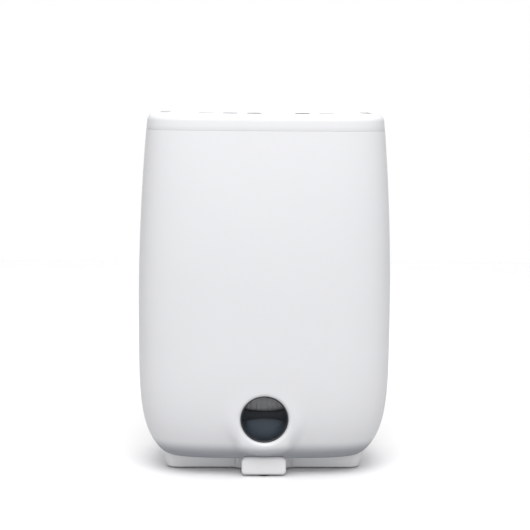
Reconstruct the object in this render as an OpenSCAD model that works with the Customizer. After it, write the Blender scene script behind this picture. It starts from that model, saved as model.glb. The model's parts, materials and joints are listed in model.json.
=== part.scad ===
// Slim floor-standing desiccant dehumidifier with a rear water tank.
// Millimetres. +Z is up, the front faces -Y, and the origin is on the floor under the casing's middle.

/* [Casing] */
// Width across the widest part of the casing
body_w = 351; // [292:1:422]
// Depth from the front of the casing to the back
body_d = 190; // [176:1:228]
// Height from the floor to the crown of the closed outlet flap
overall_h = 502; // [452:1:603]
// Height of the widest part of the casing
belly_z = 214; // [196:1:240]
// Depth below the belly at which the lower curve would close
belly_drop = 213; // [212:1:260]
// How far each side leans in between the belly and the top
top_lean = 14; // [8:0.2:17]
// Thickness of the casing walls
wall = 3; // [2.4:0.1:3.8]
// Height of the casing's lower edge above the floor
body_bottom_z = 24; // [20:0.5:29]

/* [Top] */
// Height of the top cover's upright band and rounded edge
cover_h = 22.4; // [18:0.2:28]
// Radius of the top cover's outer edge
cover_round = 10; // [6:0.5:12]
// Width of the outlet flap
flap_w = 268; // [200:1:276]
// Depth of the outlet flap, front to back
flap_d = 84; // [70:1:90]
// How far the flap's crown stands above the top cover
flap_crown = 3; // [1:0.5:5]
// Angle that the flap opens through
flap_open = 80; // [60:1:95]
// Diameter of a control button
button_d = 20; // [14:0.5:24]
// Distance between control positions
button_pitch = 32.4; // [26:0.2:38]
// Travel of a control button
button_travel = 0.8; // [0.4:0.1:1.2]
// Length of a hand grip slot
grip_l = 76; // [60:1:88]
// Width of a hand grip slot
grip_w = 13; // [10:0.5:14]
// Depth of a hand grip cup
grip_depth = 26; // [20:1:36]

/* [Porthole] */
// Radius of the porthole
port_r = 32.8; // [27:0.2:39]
// Height of the porthole's centre
port_z = 84.5; // [78:0.5:97]
// Thickness of the soft rolled ring around the porthole
port_roll = 5; // [4:0.5:7]
// Thickness of the clear lens
lens_t = 2; // [1.5:0.1:3]

/* [Base] */
// Width of the plinth at the floor
plinth_w = 276; // [230:1:284]
// Depth of the plinth
plinth_d = 96; // [82:1:108]
// Distance from the casing's middle to the plinth's front
plinth_front = 41; // [36:1:50]
// Width of the toe foot
toe_w = 62; // [50:1:74]
// Height of the toe foot
toe_h = 28; // [24:0.5:33]
// Distance from the casing's middle to the front of the toe foot
toe_front = 79; // [72:1:90]
// Height of the rubber feet below the plinth
foot_h = 2; // [1:0.5:3]

/* [Water tank] */
// Height of the tank without its lid
tank_h = 87; // [72:1:92]
// Thickness of the tank's walls
tank_wall = 2.2; // [1.8:0.1:3]
// Distance that the tank slides out
tank_travel = 170; // [150:1:190]
// Angle that the float rises through
float_rise = 18; // [10:1:20]

/* [Drying unit] */
// Outside radius of the desiccant core
core_r = 92; // [77:1:96]
// Thickness of the desiccant wheel
wheel_t = 20; // [16:1:24]
// Teeth on the wheel's rim
wheel_teeth = 80; // [72:1:84]
// Teeth on the drive pinion
pinion_teeth = 12; // [10:1:14]
// Radius of the process fan's impeller
fan_r = 74; // [62:1:78]
// Width of the process fan's impeller
fan_t = 40; // [32:1:42]
// Blades on the process fan's impeller
fan_blades = 24; // [16:1:30]

/* [Fits] */
// Gap between covers that meet and open
gap = 0.5; // [0.4:0.05:0.7]
// Radial running clearance of a pin in its bore
running = 0.06; // [0.03:0.01:0.09]

/* [Hidden] */

white = [0.93, 0.93, 0.94];
soft_grey = [0.75, 0.76, 0.78];
dark_grey = [0.2, 0.21, 0.23];
smoke = [0.35, 0.38, 0.42, 0.6];
steel = [0.7, 0.71, 0.73];
board_green = [0.1, 0.35, 0.22];
wheel_tan = [0.85, 0.8, 0.68];
rubber_black = [0.1, 0.1, 0.1];

corner_power = 4;          // squareness of the casing's plan
tuck_power = 4.4;          // squareness of the curve that tucks under the casing
depth_follow = 1.4;        // how much faster the front and back draw in than the sides
ring_points = 64;          // points round one level of the casing
shell_levels = 24;         // levels up one side of the casing
lip_h = 2.4;               // upright band along the casing's lower edge
lip_inset = 1.1;           // how far that band is set in
cover_step = 0.6;          // how far the top cover is set in from the casing
eps = 0.01;

rim_z = overall_h - flap_crown;
seam_z = rim_z - cover_h;
tank_gap = 1.5;            // gap between the tank and its bay
tank_z = body_bottom_z + 7.5;
tank_top_z = tank_z + tank_h;
cover_bottom_z = seam_z + gap;

// Half width and half depth of the casing at height z.
function half_w(z) = z > belly_z
    ? body_w / 2 - top_lean * pow((z - belly_z) / (overall_h - belly_z), 2)
    : body_w / 2 * pow(1 - pow((belly_z - z) / belly_drop, tuck_power), 1 / tuck_power);
function half_d(z) = body_d / 2 * pow(half_w(z) / (body_w / 2), depth_follow);

// A point on a rounded plan with half sizes a and b, at angle t.
function plan_point(a, b, t) = [
    a * sign(cos(t)) * pow(abs(cos(t)), 2 / corner_power),
    b * sign(sin(t)) * pow(abs(sin(t)), 2 / corner_power)];
function plan_level(inset, z, t) =
    let (p = plan_point(half_w(z) - inset, half_d(z) - inset, t)) [p[0], p[1], z];
function plan_outline(inset, z) = [for (i = [0:ring_points - 1])
    plan_point(half_w(z) - inset, half_d(z) - inset, 360 * i / ring_points)];
// Distance from the middle to the casing's surface at height z and side position x.
function skin_y(x, z) = half_d(z) * pow(1 - pow(abs(x) / half_w(z), corner_power), 1 / corner_power);
function reversed(list) = [for (i = [len(list) - 1:-1:0]) list[i]];

// A wall around the casing from angle a0 to a1. outer and inner list [inset, z] from the bottom up.
module casing_wall(outer, inner, a0, a1) {
    levels = concat(outer, reversed(inner));
    n = len(levels);
    whole = a1 - a0 >= 360;
    steps = round(ring_points * (a1 - a0) / 360);
    rings = whole ? steps : steps + 1;
    points = [for (j = [0:rings - 1]) for (l = levels) plan_level(l[0], l[1], a0 + (a1 - a0) * j / steps)];
    sides = [for (j = [0:steps - 1]) for (i = [0:n - 1])
        let (k = (i + 1) % n, a = j * n, b = ((j + 1) % rings) * n) [a + i, a + k, b + k, b + i]];
    ends = whole ? [] : [for (i = [0:len(outer) - 2])
        let (b = (rings - 1) * n) each [[i, n - 1 - i, n - 2 - i, i + 1],
            [b + i + 1, b + n - 2 - i, b + n - 1 - i, b + i]]];
    triangles = [for (f = concat(sides, ends)) each [[f[0], f[1], f[2]], [f[0], f[2], f[3]]]];
    polyhedron(points = points, faces = triangles, convexity = 6);
}

// Rounded rectangle outline, centred, with corner radius r.
function rounded_points(w, d, r, steps = 6) = [for (q = [0:3]) for (i = [0:steps])
    let (a = 90 * q + 90 * i / steps, sx = (q == 0 || q == 3) ? 1 : -1, sy = q < 2 ? 1 : -1)
    [sx * (w / 2 - r) + r * cos(a), sy * (d / 2 - r) + r * sin(a)]];
module rounded_plate(w, d, h, r) { linear_extrude(h) polygon(rounded_points(w, d, r)); }
// Turns a shape drawn upwards so that it runs from front to back, its drawing's y upwards.
module facing_back() { rotate([90, 0, 0]) mirror([0, 0, 1]) children(); }

// ---------------------------------------------------------------- casing

casing_levels = concat(
    [[lip_inset, body_bottom_z], [lip_inset, body_bottom_z + lip_h], [0, body_bottom_z + lip_h + 0.9]],
    [for (i = [1:shell_levels]) [0, body_bottom_z + lip_h + 0.9
        + (seam_z - body_bottom_z - lip_h - 0.9) * pow(i / shell_levels, 1.4)]]);
casing_inner_levels = [for (l = casing_levels) [l[0] + wall, l[1]]];

port_y = -half_d(port_z + port_r) - 0.4;   // front plane of the rolled ring
port_depth = 18;                           // length of the porthole's tube
bezel_t = 2;                               // thickness of the bezel's ring
bezel_y = port_y + port_roll;
bezel_len = 7;
screw_x = 134;                             // half the distance between the casing screws
screw_z = [seam_z - 48.6, tank_top_z + 24];
screw_well_r = 4.6;
screw_seat_y = body_d / 2 - 24;
screw_head_r = 4;
screw_head_t = 2.6;
screw_r = 1.9;
screw_grip = 0.05;                         // gap round a screw in its post
post_r = 5;                                // radius of the posts that take the casing screws
post_end_y = screw_seat_y - 4.2;

module front_shell() color(white) difference() {
    union() {
        casing_wall(casing_levels, casing_inner_levels, 180, 360);
        translate([0, port_y, port_z]) facing_back() porthole_ring();
        porthole_neck();
        for (x = [-screw_x, screw_x], z = screw_z) translate([x, -skin_y(x, z) + 1.5, z]) facing_back()
            cylinder(h = skin_y(x, z) - 1.5 + post_end_y, r = post_r, $fn = 32);
    }
    for (x = [-screw_x, screw_x], z = screw_z) translate([x, screw_seat_y - 20, z]) facing_back()
        cylinder(h = 30, r = screw_r + screw_grip, $fn = 32);
    translate([0, port_y - 1, port_z]) facing_back() cylinder(h = port_depth + 2, r = port_r, $fn = 96);
    translate([-toe_w / 2 - gap, -body_d, 0]) cube([toe_w + 2 * gap, body_d, toe_h + gap]);
}

// The swelling below the porthole that leads its ring down to the toe foot.
module porthole_neck() {
    back_y = min(6 - half_d(body_bottom_z), tank_front_y - gap);
    low_y = -max(toe_front, half_d(body_bottom_z) + 6);
    top_z = port_z - port_r - 2;
    translate([-toe_w / 2, 0, 0]) rotate([90, 0, 90]) linear_extrude(toe_w) polygon([
        [back_y, toe_h + gap], [low_y + 1, toe_h + gap], [low_y - 0.5, toe_h + gap + 1.5],
        [port_y * 0.55 + low_y * 0.45, toe_h + 6], [port_y * 0.85 + low_y * 0.15, toe_h + 11],
        [port_y + 1, toe_h + 15], [port_y + port_roll, top_z], [back_y, top_z]]);
}

// The rolled ring: a tube whose front rounds over inwards and outwards.
module porthole_ring() {
    outer_r = port_r + port_roll + 4;
    rotate_extrude($fn = 96) polygon(concat(
        [[port_r - 1, port_depth], [port_r - 1, port_roll]],
        [for (a = [180:-15:90]) [port_r + port_roll + port_roll * cos(a), port_roll - port_roll * sin(a)]],
        [for (a = [75:-15:0]) [port_r + port_roll + 4 * cos(a), 4 - 4 * sin(a)]],
        [[outer_r, port_depth]]));
}

filter_w = 216;
filter_h = 226;
filter_z = 302;            // height of the filter's middle
filter_t = 7;
filter_y = skin_y(filter_w / 2, filter_z + filter_h / 2) - 0.5;
tank_r = 26;
tank_w = 2 * (half_w(tank_z) - wall - 26);
tank_front_y = -(half_d(tank_z) - wall - 9);
tank_back_y = half_d(tank_z) - wall - 13;
tank_d = tank_back_y - tank_front_y;
tank_mid_y = (tank_back_y + tank_front_y) / 2;
face_w = tank_w + 8;
face_low_z = tank_z - 1;
face_top_z = tank_top_z + 5;
gland_x = 132;
gland_z = tank_top_z + 46;
gland_r = 6.5;
spigot_z = gland_z;

module rear_shell() color(white) difference() {
    union() {
        casing_wall(casing_levels, casing_inner_levels, 0, 180);
        for (x = [-screw_x, screw_x], z = screw_z)
            translate([x, screw_seat_y - 4, z]) facing_back()
                cylinder(h = skin_y(x, z) - screw_seat_y + 3, r = screw_well_r + 2, $fn = 32);
    }
    for (x = [-screw_x, screw_x], z = screw_z) {
        translate([x, screw_seat_y, z]) facing_back() cylinder(h = 60, r = screw_well_r, $fn = 32);
        translate([x, screw_seat_y - 10, z]) facing_back() cylinder(h = 30, r = screw_r + 0.2, $fn = 32);
    }
    translate([0, 30, filter_z]) facing_back()
        linear_extrude(body_d) polygon(rounded_points(filter_w + 2 * gap, filter_h + 2 * gap, 8));
    translate([-face_w / 2 - gap, 20, face_low_z - gap])
        cube([face_w + 2 * gap, body_d, face_top_z - face_low_z + 2 * gap]);
    for (x = [-gland_x, gland_x])
        translate([x, 30, gland_z]) facing_back() cylinder(h = body_d, r = gland_r + 0.1, $fn = 48);
}

tongue_gap = 0.4;          // gap between the cover's tongue and the casing it drops into
cover_arc_steps = 7;
cover_levels = concat(
    [[cover_step, cover_bottom_z]],
    [for (i = [0:cover_arc_steps]) let (a = 90 * i / cover_arc_steps)
        [cover_step + cover_round * (1 - cos(a)), rim_z - cover_round + cover_round * sin(a)]],
    [[cover_step + cover_round + 4, rim_z]]);
cover_inner_levels = concat(
    [[cover_step + wall, cover_bottom_z]],
    [for (i = [0:cover_arc_steps]) let (a = 90 * i / cover_arc_steps, r = cover_round - wall)
        [cover_step + wall + r * (1 - cos(a)), rim_z - cover_round + r * sin(a)]],
    [[cover_step + cover_round + 4, rim_z - wall]]);

cover_half_d = half_d(rim_z) - cover_step - cover_round;   // half depth of the cover's flat top
cover_half_w = half_w(rim_z) - cover_step - cover_round;
control_depth = 44;                                        // depth of the control strip in front of the flap
button_y = -cover_half_d + button_d / 2 + 7;
flap_front_y = -cover_half_d + control_depth;
flap_back_y = flap_front_y + flap_d;
// The flap is as wide as asked, or as the grip slots or the cover's rounded back corners leave room for.
corner_room = cover_half_w * pow(max(0.05, 1 - pow(max(0, flap_back_y) / (cover_half_d - 3), corner_power)), 1 / corner_power);
flap_half_w = min(flap_w / 2, cover_half_w - grip_w - 9, corner_room - 7.7);
flap_t = 2.6;
hinge_r = 2.6;
hinge_y = flap_back_y - hinge_r;
hinge_z = rim_z - hinge_r;
flap_pin_r = 2;
flap_pin_l = 3.2;
grip_x = flap_half_w + gap + 3 + grip_w / 2;
grip_y = (flap_front_y + flap_back_y) / 2 - 9;
control_slots = [-2.5, -1.5, -0.5, 0.5, 1.5, 2.5];         // control positions, in pitches from the middle
display_slot = 0.5;                                        // the position that holds the display
button_slots = [for (s = control_slots) if (s != display_slot) s];
button_gap = 0.35;

module grip_outline(grow = 0) {
    polygon(rounded_points(grip_w + 2 * grow, grip_l + 2 * grow, grip_w / 2 + grow - eps));
}

module top_cover() color(white) {
    difference() {
        union() {
            casing_wall(cover_levels, cover_inner_levels, 0, 360);
            casing_wall([[wall + tongue_gap, seam_z - 6], [wall + tongue_gap, cover_bottom_z + 3]],
                [[wall + tongue_gap + 1.6, seam_z - 6], [wall + tongue_gap + 1.6, cover_bottom_z + 3]], 0, 360);
            translate([0, 0, rim_z - wall]) linear_extrude(wall) difference() {
                polygon(plan_outline(cover_step + cover_round + 1.5, rim_z));
                translate([-flap_half_w - gap, flap_front_y - gap])
                    square([2 * (flap_half_w + gap), flap_d + 2 * gap]);
                for (s = button_slots) translate([s * button_pitch, button_y])
                    circle(r = button_d / 2 + button_gap, $fn = 64);
                translate([display_slot * button_pitch, button_y]) circle(r = button_d / 2 + 0.1, $fn = 64);
                for (s = [-1, 1]) translate([s * grip_x, grip_y]) grip_outline();
            }
            for (s = [-1, 1]) translate([s * (flap_half_w + gap), 0, 0]) flap_bearing(s);
        }
        translate([-flap_half_w - 20, hinge_y, hinge_z]) rotate([0, 90, 0])
            cylinder(h = 2 * flap_half_w + 40, r = flap_pin_r + running, $fn = 48);
    }
}

// A small ear under the cover that carries one end of the flap's hinge pin.
module flap_bearing(side) {
    ear_t = 2.6;
    translate([side > 0 ? 0 : -ear_t, hinge_y - 5, hinge_z - 6]) cube([ear_t, 10, rim_z - hinge_z + 6 - wall + 1]);
}

// ---------------------------------------------------------------- top pieces

module grip_cup(side) color(soft_grey) translate([side * grip_x, grip_y, rim_z - wall - grip_depth]) {
    cup_t = 1.6;
    difference() {
        linear_extrude(grip_depth) grip_outline(cup_t);
        translate([0, 0, cup_t]) linear_extrude(grip_depth) grip_outline();
    }
}
module grip_cup_left() grip_cup(-1);
module grip_cup_right() grip_cup(1);

module display_lens() color(white)
    translate([display_slot * button_pitch, button_y, rim_z - wall - 1]) {
        cylinder(h = wall + 1, r = button_d / 2 - 0.1, $fn = 64);
        translate([0, 0, -1.2]) cylinder(h = 1.6, r = button_d / 2 + 1.5, $fn = 64);
    }

button_top_z = rim_z + 0.6;
button_flange_t = 1.6;
button_flange_z = rim_z - wall - 0.1 - button_flange_t;
stem_l = 5;
mat_dome = 1.4;
mat_z = button_flange_z - stem_l - button_travel - 0.1 - mat_dome;
board_z = mat_z - 2.4;

module control_button(index) color(dark_grey) translate([button_slots[index] * button_pitch, button_y, 0]) {
    dish_r = 60;
    difference() {
        union() {
            translate([0, 0, button_flange_z + button_flange_t - eps])
                cylinder(h = button_top_z - button_flange_z - button_flange_t, r = button_d / 2, $fn = 64);
            translate([0, 0, button_flange_z]) cylinder(h = button_flange_t, r = button_d / 2 + 1.6, $fn = 64);
            translate([0, 0, button_flange_z - stem_l]) cylinder(h = stem_l + 0.5, r = 2.5, $fn = 32);
        }
        translate([0, 0, button_top_z - 0.5 + dish_r]) sphere(r = dish_r, $fn = 96);
    }
}
module button_1() control_button(0);
module button_2() control_button(1);
module button_3() control_button(2);
module button_4() control_button(3);
module button_5() control_button(4);

module keypad_mat() color(rubber_black) {
    mat_w = 5 * button_pitch + button_d;
    translate([0, button_y, mat_z - 1.2]) rounded_plate(mat_w, button_d, 1.2, 4);
    for (s = button_slots) translate([s * button_pitch, button_y, mat_z - 0.2])
        cylinder(h = mat_dome + 0.2, r1 = 5, r2 = 3.5, $fn = 32);
}

module control_board() color(board_green) {
    board_w = 5 * button_pitch + button_d + 12;
    translate([0, button_y, board_z - 1.6]) rounded_plate(board_w, button_d + 8, 1.6, 3);
    for (s = button_slots) translate([s * button_pitch - 3, button_y - 3, board_z - eps]) cube([6, 6, 0.9]);
    translate([-board_w / 2 + 8, button_y - 8, board_z - 1.6 - 6]) cube([14, 16, 6 + eps]);
}

// Cross-section of the flap, y to the right and z up: a shallow arch that ends in the hinge barrel.
module flap_section() {
    arch_steps = 16;
    span = hinge_y - flap_front_y;
    function arch(u) = rim_z + 0.2 + (flap_crown - 0.2) * sin(180 * u) * (1 - 0.25 * cos(180 * u));
    top = [for (i = [0:arch_steps]) let (u = i / arch_steps) [flap_front_y + span * u, min(arch(u), overall_h)]];
    bottom = [for (i = [arch_steps:-1:0]) let (u = i / arch_steps)
        [flap_front_y + 1 + (span - 1) * u, min(arch(u), overall_h) - flap_t]];
    polygon(concat(top, bottom));
    translate([hinge_y, hinge_z]) circle(r = hinge_r, $fn = 48);
    translate([flap_front_y, rim_z - wall - 1]) square([2, wall + 1.1]);
}

module outlet_flap() color(white) {
    translate([-flap_half_w, 0, 0]) rotate([90, 0, 90]) linear_extrude(2 * flap_half_w) flap_section();
    for (s = [-1, 1]) translate([s * flap_half_w, hinge_y, hinge_z]) rotate([0, s * 90, 0])
        translate([0, 0, -1]) cylinder(h = flap_pin_l + 1, r = flap_pin_r, $fn = 48);
}

module flap_motor() color(dark_grey) translate([-flap_half_w - gap - flap_pin_l - 1, hinge_y - 1, hinge_z - 12])
    rotate([0, -90, 0]) {
        cylinder(h = 12, r = 7.5, $fn = 48);
        translate([0, 0, -0.6]) cylinder(h = 2, r = 2.5, $fn = 32);
    }

throat_z0 = seam_z - 30;
throat_z1 = rim_z - wall - 9;
throat_t = 2;
throat_half_w = flap_half_w - 8;
throat_front_y = flap_front_y + 4;
throat_back_y = flap_back_y - 8;

// The duct turns the air from the fan's outlet, in front, back and up to the flap.
module outlet_throat() color(soft_grey) difference() {
    turn_z = board_z - 14;
    translate([-throat_half_w, 0, 0]) rotate([90, 0, 90]) linear_extrude(2 * throat_half_w) polygon([
        [fan_y0, throat_z0], [fan_y1, throat_z0], [throat_back_y, throat_z0 + 18], [throat_back_y, throat_z1],
        [throat_front_y, throat_z1], [throat_front_y, turn_z], [fan_y0, turn_z - 6]]);
    translate([-throat_half_w + throat_t, 0, 0]) rotate([90, 0, 90]) linear_extrude(2 * (throat_half_w - throat_t))
        polygon([[fan_y0 + throat_t, throat_z0 + throat_t], [fan_y1 - 0.6, throat_z0 + throat_t],
            [throat_back_y - throat_t, throat_z0 + 18 + 1.4 * throat_t], [throat_back_y - throat_t, throat_z1 + 1],
            [throat_front_y + throat_t, throat_z1 + 1], [throat_front_y + throat_t, turn_z - 1.4 * throat_t],
            [fan_y0 + throat_t, turn_z - 6 - 1.2 * throat_t]]);
    translate([unit_x - scroll_side, fan_y0 + throat_t, throat_z0 - 1])
        cube([scroll_side + scroll_lip, scroll_depth - 2 * scroll_t, throat_t + 2]);
}

module outlet_grille() color(dark_grey) {
    mid_y = (throat_front_y + throat_back_y) / 2;
    inner_w = 2 * (throat_half_w - throat_t - 0.3);
    inner_d = throat_back_y - throat_front_y - 2 * (throat_t + 0.3);
    h = 9;
    bars = 5;
    translate([0, mid_y, throat_z1 - h - 2]) {
        difference() {
            rounded_plate(inner_w, inner_d, h, 4);
            translate([0, 0, -1]) rounded_plate(inner_w - 4, inner_d - 4, h + 2, 3);
        }
        for (i = [1:bars]) translate([-inner_w / 2 + 1, -inner_d / 2 + inner_d * i / (bars + 1) - 0.8, 0])
            cube([inner_w - 2, 1.8, h - 1]);
    }
}

// ---------------------------------------------------------------- porthole

module porthole_bezel() color(dark_grey) translate([0, bezel_y, port_z]) facing_back() difference() {
    cylinder(h = bezel_len, r = port_r - 0.1, $fn = 96);
    translate([0, 0, -1]) cylinder(h = bezel_len + 2, r = port_r - bezel_t, $fn = 96);
}
module porthole_lens() color(smoke) translate([0, bezel_y + 2.5, port_z]) facing_back()
    cylinder(h = lens_t, r = port_r - bezel_t - 0.1, $fn = 96);

// ---------------------------------------------------------------- base

plate_z = body_bottom_z + lip_h + 0.9;
plate_t = 3;

module base_plate() color(soft_grey) difference() {
    translate([0, 0, plate_z]) linear_extrude(plate_t)
        polygon(plan_outline(wall + 0.15, plate_z));
    translate([-toe_w / 2 - gap, -body_d, 0]) cube([toe_w + 2 * gap, body_d - toe_back, toe_h + 5]);
}

plinth_top_z = plate_z;
plinth_flare = 4;           // how much further out each side of the plinth stands at its top
plinth_collar = 7;          // how far in the collar stands that rises inside the casing's edge
plinth_ledge_z = body_bottom_z - gap;
plinth_front_r = 16;
plinth_back_r = 32;
plinth_t = 2.6;
plinth_mid_y = -plinth_front + plinth_d / 2;
toe_back = plinth_front - 3;
// Plan of the plinth, drawn in by shrink, with wider curves at its back corners.
function plinth_points(shrink, flare = 0) = [for (q = [0:3]) for (i = [0:8])
    let (a = 90 * q + 90 * i / 8, r = (q < 2 ? plinth_back_r : plinth_front_r) - shrink,
        sx = (q == 0 || q == 3) ? 1 : -1, sy = q < 2 ? 1 : -1)
    [sx * (plinth_w / 2 + flare - shrink - r) + r * cos(a),
        plinth_mid_y + sy * (plinth_d / 2 - shrink - r) + r * sin(a)]];
module plinth_solid(shrink, z0, z1) hull() {
    translate([0, 0, z0]) linear_extrude(0.1) polygon(plinth_points(shrink));
    translate([0, 0, z1 - 0.1]) linear_extrude(0.1) polygon(plinth_points(shrink, plinth_flare));
}
module plinth() color(white) {
    difference() {
        union() {
            plinth_solid(0, foot_h, plinth_ledge_z);
            translate([0, 0, foot_h + plinth_t]) linear_extrude(plinth_top_z - foot_h - plinth_t)
                polygon(plinth_points(plinth_collar));
        }
        plinth_solid(plinth_t, foot_h + plinth_t, plinth_ledge_z - plinth_t);
        translate([0, 0, foot_h + plinth_t]) linear_extrude(plinth_top_z)
            polygon(plinth_points(plinth_collar + plinth_t));
        translate([-toe_w / 2 + 6, -plinth_front - 5, foot_h + 4]) cube([toe_w - 12, 12, toe_h]);
    }
}
// The hollow curve that leads the plinth's front into the toe foot's side.
module toe_flare() {
    r = 9;
    translate([toe_w / 2 - 0.5, -plinth_front - r, foot_h]) linear_extrude(plinth_top_z - foot_h - 6)
        difference() {
            square([r, r]);
            translate([r, 0]) circle(r = r - 0.8, $fn = 48);
        }
}

toe_round = 9;
module toe_foot() color(white) {
    x = toe_w / 2 - toe_round;
    hull() {
        for (s = [-1, 1]) {
            translate([s * x, -toe_front + toe_round, toe_h - toe_round]) sphere(r = toe_round, $fn = 32);
            translate([s * x, -toe_front + toe_round, foot_h]) cylinder(h = 5, r1 = toe_round - 2, r2 = toe_round, $fn = 32);
            translate([s * x - toe_round, -toe_back - 6, foot_h]) cube([2 * toe_round, 2, 5]);
            translate([s * x, -toe_back - 4, toe_h - toe_round]) rotate([90, 0, 0]) cylinder(h = 2, r = toe_round, $fn = 32);
        }
    }
    translate([-toe_w / 2 + 6.5, -toe_back - 6, foot_h + 4.5]) cube([toe_w - 13, 9, 8]);
    for (s = [0, 1]) mirror([s, 0, 0]) toe_flare();
}

foot_r = 9;
module rubber_feet() color(rubber_black) {
    for (x = [-1, 1], y = [-1, 1])
        translate([x * (plinth_w / 2 - 20), plinth_mid_y + y * (plinth_d / 2 - 18), 0]) foot_pad();
    translate([0, -toe_front + toe_round + 4, 0]) foot_pad();
}
module foot_pad() cylinder(h = foot_h, r = foot_r, $fn = 48);

// ---------------------------------------------------------------- water tank

module tank_outline(shrink) {
    translate([0, tank_mid_y]) polygon(rounded_points(tank_w - 2 * shrink, tank_d - 2 * shrink, tank_r - shrink));
}
module tank_body() color(smoke) difference() {
    translate([0, 0, tank_z]) linear_extrude(tank_h) tank_outline(0);
    translate([0, 0, tank_z + tank_wall]) linear_extrude(tank_h) tank_outline(tank_wall);
}

lid_t = 2.4;
inlet_r = 15;
inlet_y = 18;
module tank_lid() color(soft_grey) difference() {
    union() {
        translate([0, 0, tank_top_z]) linear_extrude(lid_t) tank_outline(-0.6);
        translate([0, 0, tank_top_z - 3]) linear_extrude(3 + eps) difference() {
            tank_outline(tank_wall + 0.3);
            tank_outline(tank_wall + 2);
        }
    }
    translate([0, inlet_y, tank_top_z - 5]) cylinder(h = 12, r = inlet_r, $fn = 64);
}

// The tank's back panel: a piece of the casing's own curve with a finger recess.
recess_w = 96;
recess_h = 26;
recess_depth = 14;
recess_z = (face_low_z + face_top_z) / 2 + 6;
module tank_face() color(white) {
    difference() {
        intersection() {
            casing_wall(casing_levels, casing_inner_levels, 0, 180);
            translate([-face_w / 2, 20, face_low_z]) cube([face_w, body_d, face_top_z - face_low_z]);
        }
        translate([0, tank_back_y, recess_z]) facing_back()
            linear_extrude(body_d) polygon(rounded_points(recess_w, recess_h, 10));
    }
    translate([0, skin_y(0, tank_z + 8) - wall - 1, recess_z]) facing_back() recess_cup();
    for (x = [-tank_w / 2 + tank_r, tank_w / 2 - tank_r - 4]) translate([x, tank_back_y, tank_z + 14])
        cube([4, skin_y(x + 2, tank_z + 14) - wall - tank_back_y + 1, tank_h - 22]);
}
// A pocket behind the finger recess, open to the back.
module recess_cup() {
    cup_t = 1.8;
    depth = skin_y(recess_w / 2, recess_z) - wall - (skin_y(0, tank_z + 8) - wall - 1) + 1;
    difference() {
        translate([0, 0, -3]) linear_extrude(depth + 3)
            polygon(rounded_points(recess_w + 2 * cup_t, recess_h + 2 * cup_t, 11));
        translate([0, 0, -3 + cup_t]) linear_extrude(depth + 12) polygon(rounded_points(recess_w, recess_h, 10));
    }
}

// The waisted bar across the tank's front, seen through the porthole.
grip_bar_w = 2 * port_r + 16;
grip_mid_h = 10.5;
grip_end_h = 24;
grip_bar_t = 5;
module tank_grip() color(dark_grey) translate([0, tank_front_y - grip_bar_t - 3, port_z + 1.5]) facing_back() {
    bow = (grip_end_h - grip_mid_h) / 2;
    chord = grip_bar_w / 2;
    waist_r = (chord * chord + bow * bow) / (2 * bow);
    linear_extrude(grip_bar_t) difference() {
        square([grip_bar_w, grip_end_h], center = true);
        for (s = [-1, 1]) translate([0, s * (grip_mid_h / 2 + waist_r)]) circle(r = waist_r, $fn = 160);
    }
    for (s = [-1, 1]) translate([s * (grip_bar_w / 2 - 4), 0, grip_bar_t - eps])
        linear_extrude(3 + eps) square([6, grip_end_h - 4], center = true);
}

float_x = 62;
float_y = -20;
float_pin_z = tank_top_z - 9;
float_pin_r = 1.6;
float_w = 30;
module float_bracket() color(soft_grey) {
    for (s = [-1, 1]) translate([float_x + s * 7 - 1, float_y - 3, float_pin_z - 4]) cube([2, 6, 13 - eps]);
    translate([float_x - 9, float_y, float_pin_z]) rotate([0, 90, 0]) cylinder(h = 18, r = float_pin_r, $fn = 32);
}
module float_arm() color(dark_grey) difference() {
    union() {
        translate([float_x - 5, float_y, float_pin_z]) rotate([0, 90, 0]) cylinder(h = 10, r = 4, $fn = 48);
        translate([float_x - 3, float_y, float_pin_z - 22]) cube([6, 30, 5]);
        translate([float_x - 3, float_y - 3, float_pin_z - 22]) cube([6, 6, 20]);
        translate([float_x - float_w / 2, float_y + 26, float_pin_z - 34]) cube([float_w, 26, 20]);
    }
    translate([float_x - 6, float_y, float_pin_z]) rotate([0, 90, 0])
        cylinder(h = 12, r = float_pin_r + running, $fn = 48);
}

// Rails beside and over the tank that guide it and close off the dry side.
bay_t = 1.8;
bay_roof_z = tank_top_z + lid_t + 5;
bay_back_y = min(tank_back_y, skin_y(face_w / 2, tank_z) - wall - 1);
module tank_bay() color(soft_grey) difference() {
    bay_w = tank_w + 2 * tank_gap + 2 * bay_t;
    y0 = tank_front_y + tank_r;
    translate([-bay_w / 2, y0, plate_z + plate_t]) cube([bay_w, bay_back_y - y0, bay_roof_z + bay_t - plate_z - plate_t]);
    translate([-bay_w / 2 + bay_t, y0 - 1, plate_z + plate_t - 1])
        cube([bay_w - 2 * bay_t, tank_d, bay_roof_z - plate_z - plate_t + 1]);
    translate([0, inlet_y, bay_roof_z - 1]) cylinder(h = 10, r = inlet_r - 3, $fn = 64);
}

module level_switch() color(dark_grey)
    translate([float_x - 12, float_y + 24, bay_roof_z + bay_t]) cube([24, 14, 8]);

// ---------------------------------------------------------------- back

module filter_frame() color(soft_grey) translate([0, filter_y - filter_t, filter_z]) facing_back() {
    slots = 22;
    border = 9;
    pitch = (filter_h - 2 * border) / slots;
    linear_extrude(filter_t) difference() {
        polygon(rounded_points(filter_w, filter_h, 8));
        for (i = [0:slots - 1], s = [-1, 0, 1])
            translate([s * (filter_w - 2 * border + 4) / 3, -filter_h / 2 + border + pitch * (i + 0.5)])
                square([(filter_w - 2 * border - 8) / 3, pitch * 0.55], center = true);
        translate([0, filter_h / 2 + 4]) circle(r = 12, $fn = 48);
    }
}
mesh_t = 0.8;
module filter_mesh() color(dark_grey) translate([0, filter_y - filter_t - mesh_t, filter_z]) facing_back()
    linear_extrude(mesh_t) polygon(rounded_points(filter_w - 8, filter_h - 30, 6));

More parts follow.
